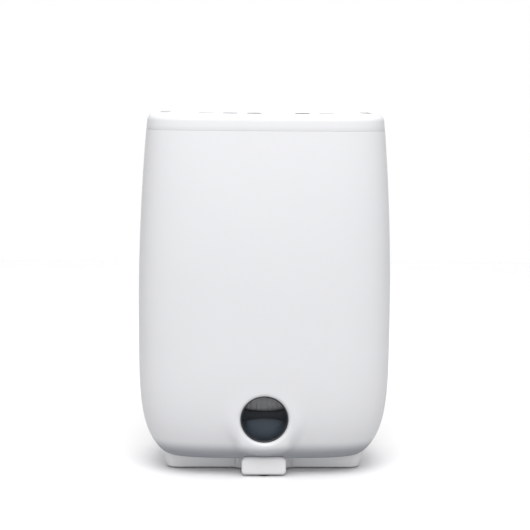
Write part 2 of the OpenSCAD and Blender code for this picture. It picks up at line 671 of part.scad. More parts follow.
// A fixed guard behind the filter, with a rim that the filter drops into.
module intake_grille() color(dark_grey) {
    guard_y = filter_y - filter_t - mesh_t - 4;
    rim = 1.6;
    translate([0, guard_y, filter_z]) facing_back() {
        linear_extrude(2.4) difference() {
            polygon(rounded_points(filter_w + 2 * gap + 2 * rim, filter_h + 2 * gap + 2 * rim, 9));
            for (i = [0:8], j = [0:8])
                translate([(i - 4) * (filter_w - 6) / 9, (j - 4) * (filter_h - 6) / 9])
                    square([(filter_w - 6) / 9 - 3, (filter_h - 6) / 9 - 3], center = true);
        }
        linear_extrude(filter_t + mesh_t) difference() {
            polygon(rounded_points(filter_w + 2 * gap + 2 * rim, filter_h + 2 * gap + 2 * rim, 9));
            polygon(rounded_points(filter_w + 2 * gap, filter_h + 2 * gap, 8));
        }
    }
}

gland_y = skin_y(gland_x + gland_r + 2.5, gland_z) - wall - 1.6;
cable_r = 3.6;
module cord_gland() color(rubber_black) translate([gland_x, gland_y, gland_z]) facing_back() difference() {
    union() {
        cylinder(h = body_d / 2 - 2 - gland_y, r = gland_r, $fn = 48);
        translate([0, 0, -2]) cylinder(h = 2.5, r = gland_r + 2.5, $fn = 48);
    }
    translate([0, 0, -3]) cylinder(h = wall + 20, r = cable_r, $fn = 48);
}
spigot_r = 5;
spigot_bore = 3.5;
module drain_spigot() color(soft_grey) translate([-gland_x, gland_y, gland_z]) facing_back() difference() {
    union() {
        cylinder(h = wall + 6, r = gland_r, $fn = 48);
        translate([0, 0, -2]) cylinder(h = 2.5, r = gland_r + 2.5, $fn = 48);
        cylinder(h = body_d / 2 - 1 - gland_y, r = spigot_r, $fn = 48);
    }
    translate([0, 0, -3]) cylinder(h = 60, r = spigot_bore, $fn = 48);
}

module casing_screws() color(steel) for (x = [-screw_x, screw_x], z = screw_z)
    translate([x, screw_seat_y, z]) facing_back() {
        translate([0, 0, -16]) cylinder(h = 16 + eps, r = screw_r, $fn = 32);
        difference() {
            cylinder(h = screw_head_t, r = screw_head_r, $fn = 32);
            for (a = [0, 90]) rotate([0, 0, a]) translate([-2.2, -0.5, screw_head_t - 1]) cube([4.4, 1, 2]);
        }
    }

// ---------------------------------------------------------------- drying unit

unit_x = -22;
unit_z = tank_top_z + 170;
wheel_y0 = 2;
chassis_t = 3;
rim_t = 5;
tooth_h = 5;
rim_root_r = core_r + rim_t;
gear_module = 2 * (rim_root_r + tooth_h * 0.55) / wheel_teeth;
wheel_pitch_r = gear_module * wheel_teeth / 2;
pinion_pitch_r = gear_module * pinion_teeth / 2;
pinion_angle = -38;
backlash = 0.25;

// Outline of a spur gear with straight-flanked teeth about its middle.
function gear_points(teeth, m, turn = 0) = let (rp = m * teeth / 2, ra = rp + 0.8 * m, rf = rp - 1.05 * m,
    half = 90 / teeth, slack = backlash / rp * 90 / PI)
    [for (i = [0:teeth - 1]) let (c = turn + 360 * i / teeth) each [
        for (p = [[rf, -half * 1.45], [rp, -half + slack], [ra, -half * 0.4], [ra, half * 0.4],
            [rp, half - slack], [rf, half * 1.45]]) [p[0] * cos(c + p[1]), p[0] * sin(c + p[1])]]];

module at_unit(y) { translate([unit_x, y, unit_z]) facing_back() children(); }

hub_r = 13;
axle_r = 4;
module desiccant_core() color(wheel_tan) at_unit(wheel_y0) difference() {
    cylinder(h = wheel_t, r = core_r - 0.2, $fn = 120);
    translate([0, 0, -1]) cylinder(h = wheel_t + 2, r = hub_r + 0.2, $fn = 64);
}
module wheel_rim() color(dark_grey) at_unit(wheel_y0 + 4) linear_extrude(wheel_t - 8) difference() {
    polygon(gear_points(wheel_teeth, gear_module));
    circle(r = core_r, $fn = 120);
}
module wheel_hub() color(dark_grey) at_unit(wheel_y0) difference() {
    union() {
        cylinder(h = wheel_t, r = hub_r, $fn = 64);
        for (a = [0:60:300]) rotate([0, 0, a]) translate([hub_r - 2, -1.5, wheel_t + 0.2]) cube([core_r - hub_r - 4, 3, 2]);
        translate([0, 0, wheel_t - eps]) cylinder(h = 2.4, r = hub_r, $fn = 64);
    }
    translate([0, 0, -1]) cylinder(h = wheel_t + 6, r = axle_r + running, $fn = 64);
}
pinion_x = (wheel_pitch_r + pinion_pitch_r) * cos(pinion_angle);
pinion_z = (wheel_pitch_r + pinion_pitch_r) * sin(pinion_angle);
// Turn that puts a gap of the pinion opposite a tooth of the wheel on the line between their middles.
pinion_turn = 180 + pinion_angle + 180 / pinion_teeth
    + (pinion_angle / (360 / wheel_teeth) - round(pinion_angle / (360 / wheel_teeth))) * 360 / pinion_teeth;
pinion_shaft_r = 2.5;
module wheel_pinion() color(soft_grey) translate([pinion_x, 0, pinion_z]) at_unit(wheel_y0 + 2) difference() {
    linear_extrude(wheel_t - 4) polygon(gear_points(pinion_teeth, gear_module, pinion_turn));
    translate([0, 0, -1]) cylinder(h = wheel_t, r = pinion_shaft_r + running, $fn = 48);
}
// The upright partition that carries the fan in front and the wheel behind.
module chassis() color(soft_grey) {
    z0 = bay_roof_z + bay_t;
    steps = 12;
    zs = [for (i = [0:steps]) z0 + (throat_z0 - z0) * i / steps];
    translate([0, fan_y1, 0]) facing_back() difference() {
        linear_extrude(chassis_t) polygon(concat(
            [for (z = zs) [half_w(z) - wall - 2.4, z]], [for (z = reversed(zs)) [wall + 2.4 - half_w(z), z]]));
        translate([unit_x, unit_z, -1]) difference() {
            cylinder(h = chassis_t + 2, r = core_r - 14, $fn = 96);
            for (a = [30:60:150]) rotate([0, 0, a]) translate([-core_r, -5, 0]) cube([2 * core_r, 10, chassis_t + 4]);
            cylinder(h = chassis_t + 4, r = 14, $fn = 48);
        }
        translate([unit_x, unit_z, -1]) cylinder(h = chassis_t + 2, r = axle_r, $fn = 64);
        translate([blower_x, blower_z, -1]) cylinder(h = chassis_t + 2, r = blower_motor_r + 1, $fn = 48);
        for (x = [-screw_x, screw_x], z = screw_z)
            translate([x, z, -1]) cylinder(h = chassis_t + 2, r = post_r + 0.5, $fn = 32);
    }
}
frame_t = 3;
frame_y = wheel_y0 + wheel_t + 4;
module wheel_frame() color(soft_grey) {
    side = 2 * (rim_root_r + tooth_h + 10);
    at_unit(fan_y1 + chassis_t) for (x = [-1, 1], z = [-1, 1])
        translate([x * (side / 2 - 9), z * (side / 2 - 9), 0]) cylinder(h = frame_y - fan_y1 - chassis_t, r = 4, $fn = 32);
    at_unit(frame_y - eps) linear_extrude(frame_t) difference() {
        polygon(rounded_points(side, side, 30));
        for (a = [0:60:300]) rotate(a) polygon(concat(
            [for (b = [6:6:54]) 24 * [cos(b), sin(b)]], [for (b = [54:-6:6]) (core_r - 4) * [cos(b), sin(b)]]));
    }
}
module wheel_axle() color(steel) at_unit(fan_y1) {
    cylinder(h = frame_y - fan_y1 - eps, r = axle_r, $fn = 64);
    translate([0, 0, wheel_y0 - fan_y1 - 3]) cylinder(h = 2, r = axle_r + 2.5, $fn = 64);
}
module wheel_motor() color(steel) translate([pinion_x, 0, pinion_z]) {
    motor_l = 18;
    at_unit(fan_y1 + chassis_t) cylinder(h = motor_l, r = 22, $fn = 64);
    at_unit(fan_y1 + chassis_t + motor_l - eps)
        cylinder(h = wheel_y0 + wheel_t - fan_y1 - chassis_t - motor_l, r = pinion_shaft_r, $fn = 48);
}
heater_span = 56;
module heater_box() color(steel) at_unit(fan_y1 + chassis_t) linear_extrude(wheel_y0 - 1 - fan_y1 - chassis_t) {
    polygon(concat([for (a = [100:4:100 + heater_span]) (core_r - 2) * [cos(a), sin(a)]],
        [for (a = [100 + heater_span:-8:100]) 24 * [cos(a), sin(a)]]));
}

// The process fan sits in front of the wheel and blows up into the outlet throat.
fan_y0 = -min(half_d(unit_z) - wall - 14.5, skin_y(throat_half_w + 2, board_z - 20) - wall - 0.6);
scroll_t = 2;
scroll_depth = fan_t + 8;
fan_y1 = fan_y0 + scroll_depth;
function scroll_r(a) = fan_r + 8 + 26 * a / 360;
scroll_points = [for (a = [0:6:354]) scroll_r(a) * [cos(-a), sin(-a)]];
scroll_side = scroll_r(354) * 0.85;        // side of the scroll's outlet, left of its middle
scroll_lip = 14;                           // side of the scroll's outlet, right of its middle
module scroll_outline(grow) {
    union() {
        polygon([for (a = [0:6:354]) (scroll_r(a) + grow) * [cos(90 - a), sin(90 - a)]]);
        translate([-scroll_side - grow, 0]) square([scroll_side + scroll_lip + 2 * grow, throat_z0 - unit_z]);
    }
}
module fan_scroll() color(soft_grey) at_unit(fan_y0) difference() {
    linear_extrude(scroll_depth) scroll_outline(scroll_t);
    translate([0, 0, scroll_t]) linear_extrude(scroll_depth - 2 * scroll_t) scroll_outline(0);
    translate([0, 0, scroll_depth - scroll_t - 1]) cylinder(h = scroll_t + 2, r = fan_r - 12, $fn = 96);
    translate([-scroll_side, throat_z0 - unit_z - 4, scroll_t])
        cube([scroll_side + scroll_lip, 8, scroll_depth - 2 * scroll_t]);
    translate([0, 0, -1]) cylinder(h = scroll_t + 2, r = 5, $fn = 32);
}
fan_bore = 3;
module impeller(r, t, blades, hub, bore) {
    difference() {
        union() {
            cylinder(h = 2, r = r, $fn = 96);
            cylinder(h = t * 0.6, r = hub, $fn = 48);
            translate([0, 0, t - 3]) difference() {
                cylinder(h = 3, r = r, $fn = 96);
                translate([0, 0, -1]) cylinder(h = 5, r = r * 0.84, $fn = 96);
            }
            for (i = [0:blades - 1]) rotate([0, 0, 360 * i / blades]) translate([r * 0.86, 0, 1])
                rotate([0, 0, 28]) translate([0, -0.6, 0]) cube([r * 0.12, 1.2, t - 2]);
        }
        translate([0, 0, -1]) cylinder(h = t + 2, r = bore + running, $fn = 48);
    }
}
module process_impeller() color(dark_grey) at_unit(fan_y0 + scroll_t + 2) impeller(fan_r, fan_t, fan_blades, 14, fan_bore);
module fan_motor() color(steel) {
    at_unit(fan_y0 - 9) cylinder(h = 9, r = 26, $fn = 64);
    at_unit(fan_y0 - 1) cylinder(h = fan_t - 4, r = fan_bore, $fn = 48);
}

blower_x = 112;
blower_z = unit_z + 78;
blower_y0 = fan_y1 + chassis_t;
blower_motor_r = 16;
blower_r = 26;
blower_t = 22;
module at_blower(y) { translate([blower_x, y, blower_z]) facing_back() children(); }
module blower_housing() color(soft_grey) at_blower(blower_y0) difference() {
    union() {
        cylinder(h = blower_t + 8, r = blower_r + 8, $fn = 64);
        translate([-(blower_r + 8), -blower_r - 24, 0]) cube([20, 30, blower_t + 8]);
    }
    translate([0, 0, 2]) cylinder(h = blower_t + 4, r = blower_r + 5, $fn = 64);
    translate([-(blower_r + 6), -blower_r - 25, 2]) cube([16, 32, blower_t + 4]);
    translate([0, 0, blower_t]) cylinder(h = 12, r = blower_r - 8, $fn = 64);
    translate([0, 0, -1]) cylinder(h = 6, r = 5, $fn = 32);
}
module blower_impeller() color(dark_grey) at_blower(blower_y0 + 3.5) impeller(blower_r, blower_t, 16, 8, 2);
module blower_motor() color(steel) {
    at_blower(blower_y0 - 18) cylinder(h = 18, r = blower_motor_r, $fn = 48);
    at_blower(blower_y0 - 1) cylinder(h = blower_t - 4, r = 2, $fn = 32);
}

condenser_y = frame_y + frame_t + 13;
tube_r = 9;
tube_count = 9;
condenser_h = 224;
module condenser() color(smoke) {
    pitch = 2 * tube_r + 3;
    z0 = unit_z - condenser_h / 2;
    for (i = [0:tube_count - 1]) translate([unit_x + (i - (tube_count - 1) / 2) * pitch, condenser_y, z0])
        cylinder(h = condenser_h, r = tube_r, $fn = 32);
    for (z = [z0 - 12, z0 + condenser_h - 2]) translate([unit_x - tube_count * pitch / 2 - 2, condenser_y - tube_r - 1, z])
        cube([tube_count * pitch + 4, 2 * tube_r + 2, 14]);
}

tray_t = 2;
tray_z = bay_roof_z + bay_t + 10;
tray_w = tube_count * (2 * tube_r + 3) + 8;
module drain_tray() color(soft_grey) difference() {
    union() {
        translate([unit_x - tray_w / 2, 0, tray_z]) cube([tray_w, condenser_y + tube_r + 6, 14]);
        translate([0, inlet_y, tray_z - 10]) cylinder(h = 11, r = inlet_r - 5, $fn = 48);
    }
    translate([unit_x - tray_w / 2 + tray_t, tray_t, tray_z + tray_t]) cube([tray_w - 2 * tray_t, condenser_y + tube_r + 6 - 2 * tray_t, 14]);
    translate([0, inlet_y, tray_z - 11]) cylinder(h = 20, r = inlet_r - 7, $fn = 48);
}

board_x = 126;
board_w = 58;
board_h = 110;
board_back_y = fan_y1 + chassis_t;
module main_board() color(board_green) {
    y = board_back_y + 5;
    z = tray_z + 24;
    translate([board_x - board_w / 2, y, z]) cube([board_w, 1.6, board_h]);
    for (i = [0:3]) translate([board_x - 18 + 14 * (i % 2), y + 1.6 - eps, z + 16 + 24 * i]) cube([10, 14, 12]);
    translate([board_x + 14, y + 1.6 - eps, z + 30]) facing_back() cylinder(h = 20, r = 8, $fn = 32);
    for (x = [-1, 1], h = [10, board_h - 10]) translate([board_x + x * (board_w / 2 - 6), board_back_y, z + h])
        facing_back() cylinder(h = 5 + eps, r = 3, $fn = 32);
}
module board_cover() color(dark_grey) difference() {
    z = tray_z + 20;
    cover_w = board_w + 6;
    translate([board_x - cover_w / 2, board_back_y, z]) cube([cover_w, 32, board_h + 8]);
    translate([board_x - cover_w / 2 + 1.6, board_back_y - 1, z + 1.6]) cube([cover_w - 3.2, 31.4, board_h + 4.8]);
}

// ---------------------------------------------------------------- assembly

front_shell();
rear_shell();
top_cover();
base_plate();
plinth();
toe_foot();
rubber_feet();
porthole_bezel();
porthole_lens();
grip_cup_left();
grip_cup_right();
display_lens();
keypad_mat();
control_board();
outlet_grille();
outlet_throat();
fan_scroll();
fan_motor();
wheel_frame();
wheel_axle();
wheel_motor();
heater_box();
blower_housing();
blower_motor();
condenser();
drain_tray();
tank_bay();
main_board();
board_cover();
level_switch();
flap_motor();
cord_gland();
drain_spigot();
chassis();
intake_grille();
casing_screws();
outlet_flap();
button_1();
button_2();
button_3();
button_4();
button_5();
desiccant_core();
wheel_rim();
wheel_hub();
wheel_pinion();
process_impeller();
blower_impeller();
tank_body();
tank_lid();
tank_face();
tank_grip();
float_bracket();
float_arm();
filter_frame();
filter_mesh();
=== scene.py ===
# %% [markdown]
# # A slim desiccant dehumidifier
#
# The machine is a white moulded casing on a low plinth. Its front carries one round
# window onto the water tank, its top carries an air outlet flap, a row of small
# buttons and two grip slots, and its back carries an air filter and the tank's own
# face. This lesson builds the casing and its visible pieces around the mechanical
# model, which already holds every part at its real size and place.
#
# The first cell loads that model as a fixed frame.

# %% Load the frame
import bisect
import json
import math
import bmesh
import bpy
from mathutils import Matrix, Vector


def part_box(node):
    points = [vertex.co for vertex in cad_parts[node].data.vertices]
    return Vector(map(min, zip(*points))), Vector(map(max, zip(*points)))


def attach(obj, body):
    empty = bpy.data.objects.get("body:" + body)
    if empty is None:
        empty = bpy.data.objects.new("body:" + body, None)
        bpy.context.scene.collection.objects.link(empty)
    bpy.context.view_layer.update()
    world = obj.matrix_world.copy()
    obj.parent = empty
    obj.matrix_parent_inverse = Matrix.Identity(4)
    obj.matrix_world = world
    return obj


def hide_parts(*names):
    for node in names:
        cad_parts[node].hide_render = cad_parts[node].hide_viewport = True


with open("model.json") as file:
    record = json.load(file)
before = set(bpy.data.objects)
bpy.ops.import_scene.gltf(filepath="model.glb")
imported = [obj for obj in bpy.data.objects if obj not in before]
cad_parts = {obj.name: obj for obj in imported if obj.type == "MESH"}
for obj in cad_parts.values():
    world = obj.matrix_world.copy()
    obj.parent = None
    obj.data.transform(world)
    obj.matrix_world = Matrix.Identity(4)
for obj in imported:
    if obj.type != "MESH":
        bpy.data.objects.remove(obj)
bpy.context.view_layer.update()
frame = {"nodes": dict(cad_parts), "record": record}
mm = 0.001

# %% [markdown]
# ## Sizes
#
# The casing is a rounded box whose plan is a squared oval. Its sides lean in a little
# towards the top and tuck under at the bottom. Every height below is in millimetres,
# and the same two curves give the casing's half width and half depth at any height,
# so that each piece that touches the skin can follow it exactly.

# %% Casing curves
body_w, body_d, overall_h = 351.0, 190.0, 502.0
belly_z, belly_drop, top_lean, tuck_power = 214.0, 213.0, 14.0, 4.4
wall = 3.0
bottom_z, seam_z, rim_z = 24.0, 476.6, 499.0
port_z, port_r, port_roll, port_tube = 84.5, 32.8, 5.0, 18.0


def half_w(z):
    if z > belly_z:
        return body_w / 2 - top_lean * ((z - belly_z) / (overall_h - belly_z)) ** 2
    return body_w / 2 * (1 - ((belly_z - z) / belly_drop) ** tuck_power) ** (1 / tuck_power)


def half_d(z):
    return body_d / 2 * (half_w(z) / (body_w / 2)) ** 1.4


def skin_y(x, z):
    return half_d(z) * max(0.0, 1 - (abs(x) / half_w(z)) ** 4) ** 0.25


def ease(t):
    t = min(1.0, max(0.0, t))
    return t * t * (3 - 2 * t)


port_y = half_d(port_z + port_r) + 0.4
print("half width at the belly", half_w(belly_z), "mm, port plane", round(port_y, 2), "mm in front")

# %% [markdown]
# ## Camera, floor and light
#
# The machine is seen from the front, from a little above its top, with a long lens.
# A wide lens close by would bend the sides outwards, and a lens shift would stay on
# when the view changes, so the camera is simply tilted down. The floor is a plain
# pale sheet, and the light is a white studio: a surround that is dimmer to each side,
# so that the white casing keeps a soft darker edge, one broad panel above and in
# front, and a wide glow from overhead.

# %% Camera
image_px, focal_px = 530.0, 1249.6
camera_data = bpy.data.cameras.new("studio_camera")
camera_data.sensor_width = 36.0
camera_data.lens = 36.0 * focal_px / image_px
camera = bpy.data.objects.new("studio_camera", camera_data)
camera.location = (-34 * mm, -1746.7 * mm, 542.5 * mm)
camera.rotation_euler = (math.radians(90 - 8.39), 0.0, math.radians(-1.145))
camera.rotation_euler.rotate_axis("Z", math.radians(0.46))
bpy.context.scene.collection.objects.link(camera)
bpy.context.scene.camera = camera
print("lens", round(camera_data.lens, 1), "mm")

# %% Floor and light
scene = bpy.context.scene
scene.view_settings.view_transform = "Standard"
scene.view_settings.look = "None"


def deselect():
    if bpy.context.object and bpy.context.object.mode != "OBJECT":
        bpy.ops.object.mode_set(mode="OBJECT")
    bpy.ops.object.select_all(action="DESELECT")


deselect()
bpy.ops.mesh.primitive_plane_add(size=4.0, location=(0, 0, -0.0002))
floor = bpy.context.object
floor.name = "studio_floor"

world = bpy.data.worlds.new("studio_white")
scene.world = world
world.use_nodes = True
sky = world.node_tree
around = sky.nodes["Background"]
around.inputs["Color"].default_value = (1, 1, 1, 1)
seen = sky.nodes.new("ShaderNodeBackground")
seen.inputs["Color"].default_value = (1, 1, 1, 1)
seen.inputs["Strength"].default_value = 1.0
direction = sky.nodes.new("ShaderNodeTexCoord")
split = sky.nodes.new("ShaderNodeSeparateXYZ")
sideways = sky.nodes.new("ShaderNodeMath")
sideways.operation = "ABSOLUTE"
dim = sky.nodes.new("ShaderNodeMapRange")
dim.inputs["From Min"].default_value = 0.20
dim.inputs["From Max"].default_value = 1.0
dim.inputs["To Min"].default_value = 0.86
dim.inputs["To Max"].default_value = 0.34
ray = sky.nodes.new("ShaderNodeLightPath")
either = sky.nodes.new("ShaderNodeMixShader")
for a, b in ((direction.outputs["Generated"], split.inputs[0]), (split.outputs["X"], sideways.inputs[0]),
             (sideways.outputs[0], dim.inputs["Value"]), (dim.outputs["Result"], around.inputs["Strength"]),
             (ray.outputs["Is Camera Ray"], either.inputs[0]), (around.outputs[0], either.inputs[1]),
             (seen.outputs[0], either.inputs[2]),
             (either.outputs[0], sky.nodes["World Output"].inputs["Surface"])):
    sky.links.new(a, b)


def light_panel(name, place, aim, size, power):
    data = bpy.data.lights.new(name, "AREA")
    data.shape = "RECTANGLE"
    data.size, data.size_y = size
    data.energy = power
    panel = bpy.data.objects.new(name, data)
    panel.location = place
    panel.rotation_euler = (Vector(aim) - Vector(place)).to_track_quat("-Z", "Y").to_euler()
    scene.collection.objects.link(panel)
    return panel


light_panel("panel_above", (0.0, -0.9, 1.9), (0, 0, 0.35), (1.3, 1.0), 21.0)
overhead = bpy.data.lights.new("overhead_glow", "SUN")
overhead.energy = 1.05
overhead.angle = math.radians(70)
glow = bpy.data.objects.new("overhead_glow", overhead)
glow.rotation_euler = (math.radians(8), 0, 0)
scene.collection.objects.link(glow)

# %% [markdown]
# ## Finishes
#
# Nearly every finish here is moulded plastic, which is never perfectly even: it has
# a fine spark-eroded grain, a slow drift in tone and a little more shine where hands
# touch it. Each material could carry its own noise nodes, but one shared group keeps
# the grain in step across all of them. The group puts out only colour, roughness and
# a normal. The shader and its constant values stay in each material. A second group
# paints shade low on the casing: a grey tone, darker towards the bottom, that stands
# in for the shade on the tucked edge, which the light alone leaves too pale. The floor
# returns less light than it shows to the camera, which keeps the underside of the casing darker.

# %% Shared grain
def new_group(name, inputs, outputs):
    group = bpy.data.node_groups.new(name, "ShaderNodeTree")
    for label, kind, value in inputs:
        socket = group.interface.new_socket(name=label, in_out="INPUT", socket_type=kind)
        socket.default_value = value
    for label, kind in outputs:
        group.interface.new_socket(name=label, in_out="OUTPUT", socket_type=kind)
    entry = group.nodes.new("NodeGroupInput")
    leave = group.nodes.new("NodeGroupOutput")
    return group, entry, leave


def put(made, label, value):
    made.inputs[label].default_value = value


grain, g_in, g_out = new_group(
    "moulded_grain",
    [("Colour", "NodeSocketColor", (0.8, 0.8, 0.8, 1)), ("Drift", "NodeSocketColor", (0.7, 0.7, 0.7, 1)),
     ("Grain per metre", "NodeSocketFloat", 900.0), ("Grain depth", "NodeSocketFloat", 0.1),
     ("Roughness", "NodeSocketFloat", 0.4)],
    [("Colour", "NodeSocketColor"), ("Roughness", "NodeSocketFloat"), ("Normal", "NodeSocketVector")])
place = grain.nodes.new("ShaderNodeTexCoord")
fine = grain.nodes.new("ShaderNodeTexNoise")
put(fine, "Detail", 3.0)
slow = grain.nodes.new("ShaderNodeTexNoise")
put(slow, "Scale", 7.0)
put(slow, "Detail", 4.0)
tone = grain.nodes.new("ShaderNodeMix")
tone.data_type = "RGBA"
gloss = grain.nodes.new("ShaderNodeMath")
gloss.operation = "MULTIPLY_ADD"
gloss.inputs[1].default_value = 0.12
bump = grain.nodes.new("ShaderNodeBump")
put(bump, "Distance", 0.0002)
for a, b in ((place.outputs["Object"], fine.inputs["Vector"]), (place.outputs["Object"], slow.inputs["Vector"]),
             (g_in.outputs["Grain per metre"], fine.inputs["Scale"]), (slow.outputs["Fac"], tone.inputs["Factor"]),
             (g_in.outputs["Colour"], tone.inputs[6]), (g_in.outputs["Drift"], tone.inputs[7]),
             (tone.outputs[2], g_out.inputs["Colour"]), (fine.outputs["Fac"], gloss.inputs[0]),
             (g_in.outputs["Roughness"], gloss.inputs[2]), (gloss.outputs[0], g_out.inputs["Roughness"]),
             (fine.outputs["Fac"], bump.inputs["Height"]), (g_in.outputs["Grain depth"], bump.inputs["Strength"]),
             (bump.outputs["Normal"], g_out.inputs["Normal"])):
    grain.links.new(a, b)
print("shared group", grain.name)


# %% Moulded plastics
def moulded(name, colour, drift, rough, per_metre=1400.0, depth=0.12, coat=0.0, alpha=1.0, specular=0.5):
    made = bpy.data.materials.new(name)
    made.use_nodes = True
    tree = made.node_tree
    shader = tree.nodes["Principled BSDF"]
    group = tree.nodes.new("ShaderNodeGroup")
    group.node_tree = grain
    put(group, "Colour", (*colour, 1))
    put(group, "Drift", (*drift, 1))
    put(group, "Grain per metre", per_metre)
    put(group, "Grain depth", depth)
    put(group, "Roughness", rough)
    put(shader, "Coat Weight", coat)
    put(shader, "Coat Roughness", 0.15)
    put(shader, "Specular IOR Level", specular)
    put(shader, "Alpha", alpha)
    tree.links.new(group.outputs["Colour"], shader.inputs["Base Color"])
    tree.links.new(group.outputs["Roughness"], shader.inputs["Roughness"])
    tree.links.new(group.outputs["Normal"], shader.inputs["Normal"])
    return made


casing_white = moulded("casing_white", (0.755, 0.76, 0.777), (0.725, 0.73, 0.747), 0.30, 1600, 0.10, 0.15)
# A paler copy of the casing white for the plinth and toe: painted light, brighter to make up for the weak light that
# reaches them near the floor.
plinth_painted_light = moulded("plinth_painted_light", (0.90, 0.905, 0.915), (0.87, 0.875, 0.885), 0.26, 1600, 0.08, 0.25)
# A copy of the casing white with painted shade: the group below greys its colour towards the bottom, from 52 mm down
# to full grey below 31 mm, for the shade on the tucked edge.
casing_low = moulded("casing_low_painted_shade", (0.755, 0.76, 0.777), (0.725, 0.73, 0.747), 0.30, 1600, 0.10, 0.15)
shade_group, d_in, d_out = new_group(
    "low_painted_shade", [("Unshaded", "NodeSocketColor", (0.8, 0.8, 0.8, 1)),
                 ("Painted shade", "NodeSocketColor", (0.4, 0.4, 0.42, 1)),
                 ("Full height", "NodeSocketFloat", 0.031), ("Gone height", "NodeSocketFloat", 0.052)],
    [("Colour", "NodeSocketColor")])
spot = shade_group.nodes.new("ShaderNodeTexCoord")
parts_of = shade_group.nodes.new("ShaderNodeSeparateXYZ")
amount = shade_group.nodes.new("ShaderNodeMapRange")
amount.interpolation_type = "SMOOTHSTEP"
put(amount, "To Min", 1.0)
put(amount, "To Max", 0.0)
shaded_mix = shade_group.nodes.new("ShaderNodeMix")
shaded_mix.data_type = "RGBA"
for a, b in ((spot.outputs["Object"], parts_of.inputs[0]), (parts_of.outputs["Z"], amount.inputs["Value"]),
             (d_in.outputs["Full height"], amount.inputs["From Min"]),
             (d_in.outputs["Gone height"], amount.inputs["From Max"]),
             (amount.outputs["Result"], shaded_mix.inputs["Factor"]), (d_in.outputs["Unshaded"], shaded_mix.inputs[6]),
             (d_in.outputs["Painted shade"], shaded_mix.inputs[7]), (shaded_mix.outputs[2], d_out.inputs["Colour"])):
    shade_group.links.new(a, b)
low_tree = casing_low.node_tree
low_shader = low_tree.nodes["Principled BSDF"]
shading_node = low_tree.nodes.new("ShaderNodeGroup")
shading_node.node_tree = shade_group
# The colour of the painted shade at the casing's lowest edge.
put(shading_node, "Painted shade", (0.31, 0.32, 0.35, 1))
low_tree.links.new(low_shader.inputs["Base Color"].links[0].from_socket, shading_node.inputs["Unshaded"])
low_tree.links.new(shading_node.outputs["Colour"], low_shader.inputs["Base Color"])
inner_grey = moulded("inner_grey", (0.50, 0.51, 0.53), (0.45, 0.46, 0.48), 0.45, 1100, 0.2)
dark_plastic = moulded("dark_plastic", (0.030, 0.032, 0.037), (0.045, 0.047, 0.052), 0.42, 1500, 0.25)
button_dark = moulded("button_dark", (0.035, 0.036, 0.040), (0.05, 0.05, 0.055), 0.33, 1800, 0.12, 0.2)
button_mid = moulded("button_mid", (0.14, 0.142, 0.15), (0.17, 0.172, 0.18), 0.33, 1800, 0.12, 0.2)
button_pale = moulded("button_pale", (0.36, 0.365, 0.375), (0.40, 0.405, 0.415), 0.33, 1800, 0.12, 0.2)
smoke_clear = moulded("smoke_clear", (0.16, 0.18, 0.21), (0.20, 0.22, 0.25), 0.10, 300, 0.03, 0.3, 0.45)
lens_clear = moulded("lens_clear", (0.02, 0.025, 0.03), (0.04, 0.045, 0.05), 0.04, 250, 0.02, 0.0, 0.10, 0.12)
tank_navy = moulded("tank_navy", (0.006, 0.008, 0.014), (0.010, 0.013, 0.020), 0.30, 1200, 0.10, 0.0, 1.0, 0.3)
rubber_black = moulded("rubber_black", (0.020, 0.020, 0.021), (0.032, 0.032, 0.033), 0.75, 900, 0.5)
floor_pale = moulded("floor_pale", (0.92, 0.92, 0.925), (0.90, 0.90, 0.905), 0.6, 300, 0.02)
floor.data.materials.append(floor_pale)
floor_tree = floor_pale.node_tree
floor_shader = floor_tree.nodes["Principled BSDF"]
looked_at = floor_tree.nodes.new("ShaderNodeLightPath")
bounce = floor_tree.nodes.new("ShaderNodeMix")
bounce.data_type = "RGBA"
bounce.inputs[6].default_value = (0.57, 0.57, 0.575, 1)
floor_tree.links.new(looked_at.outputs["Is Camera Ray"], bounce.inputs["Factor"])
floor_tree.links.new(floor_shader.inputs["Base Color"].links[0].from_socket, bounce.inputs[7])
floor_tree.links.new(bounce.outputs[2], floor_shader.inputs["Base Color"])
print("plastics", [m.name for m in bpy.data.materials if m.use_nodes])

# %% [markdown]
# Steel, the circuit boards, the ceramic wheel and the filter cloth are not moulded,
# so each gets its own small set of nodes. The steel is brushed, which is noise that
# is stretched along one direction. The wheel is a ceramic honeycomb, which a Voronoi
# pattern gives in the two directions of its face. The cloth is the same pattern with
# no randomness, which gives even square meshes.

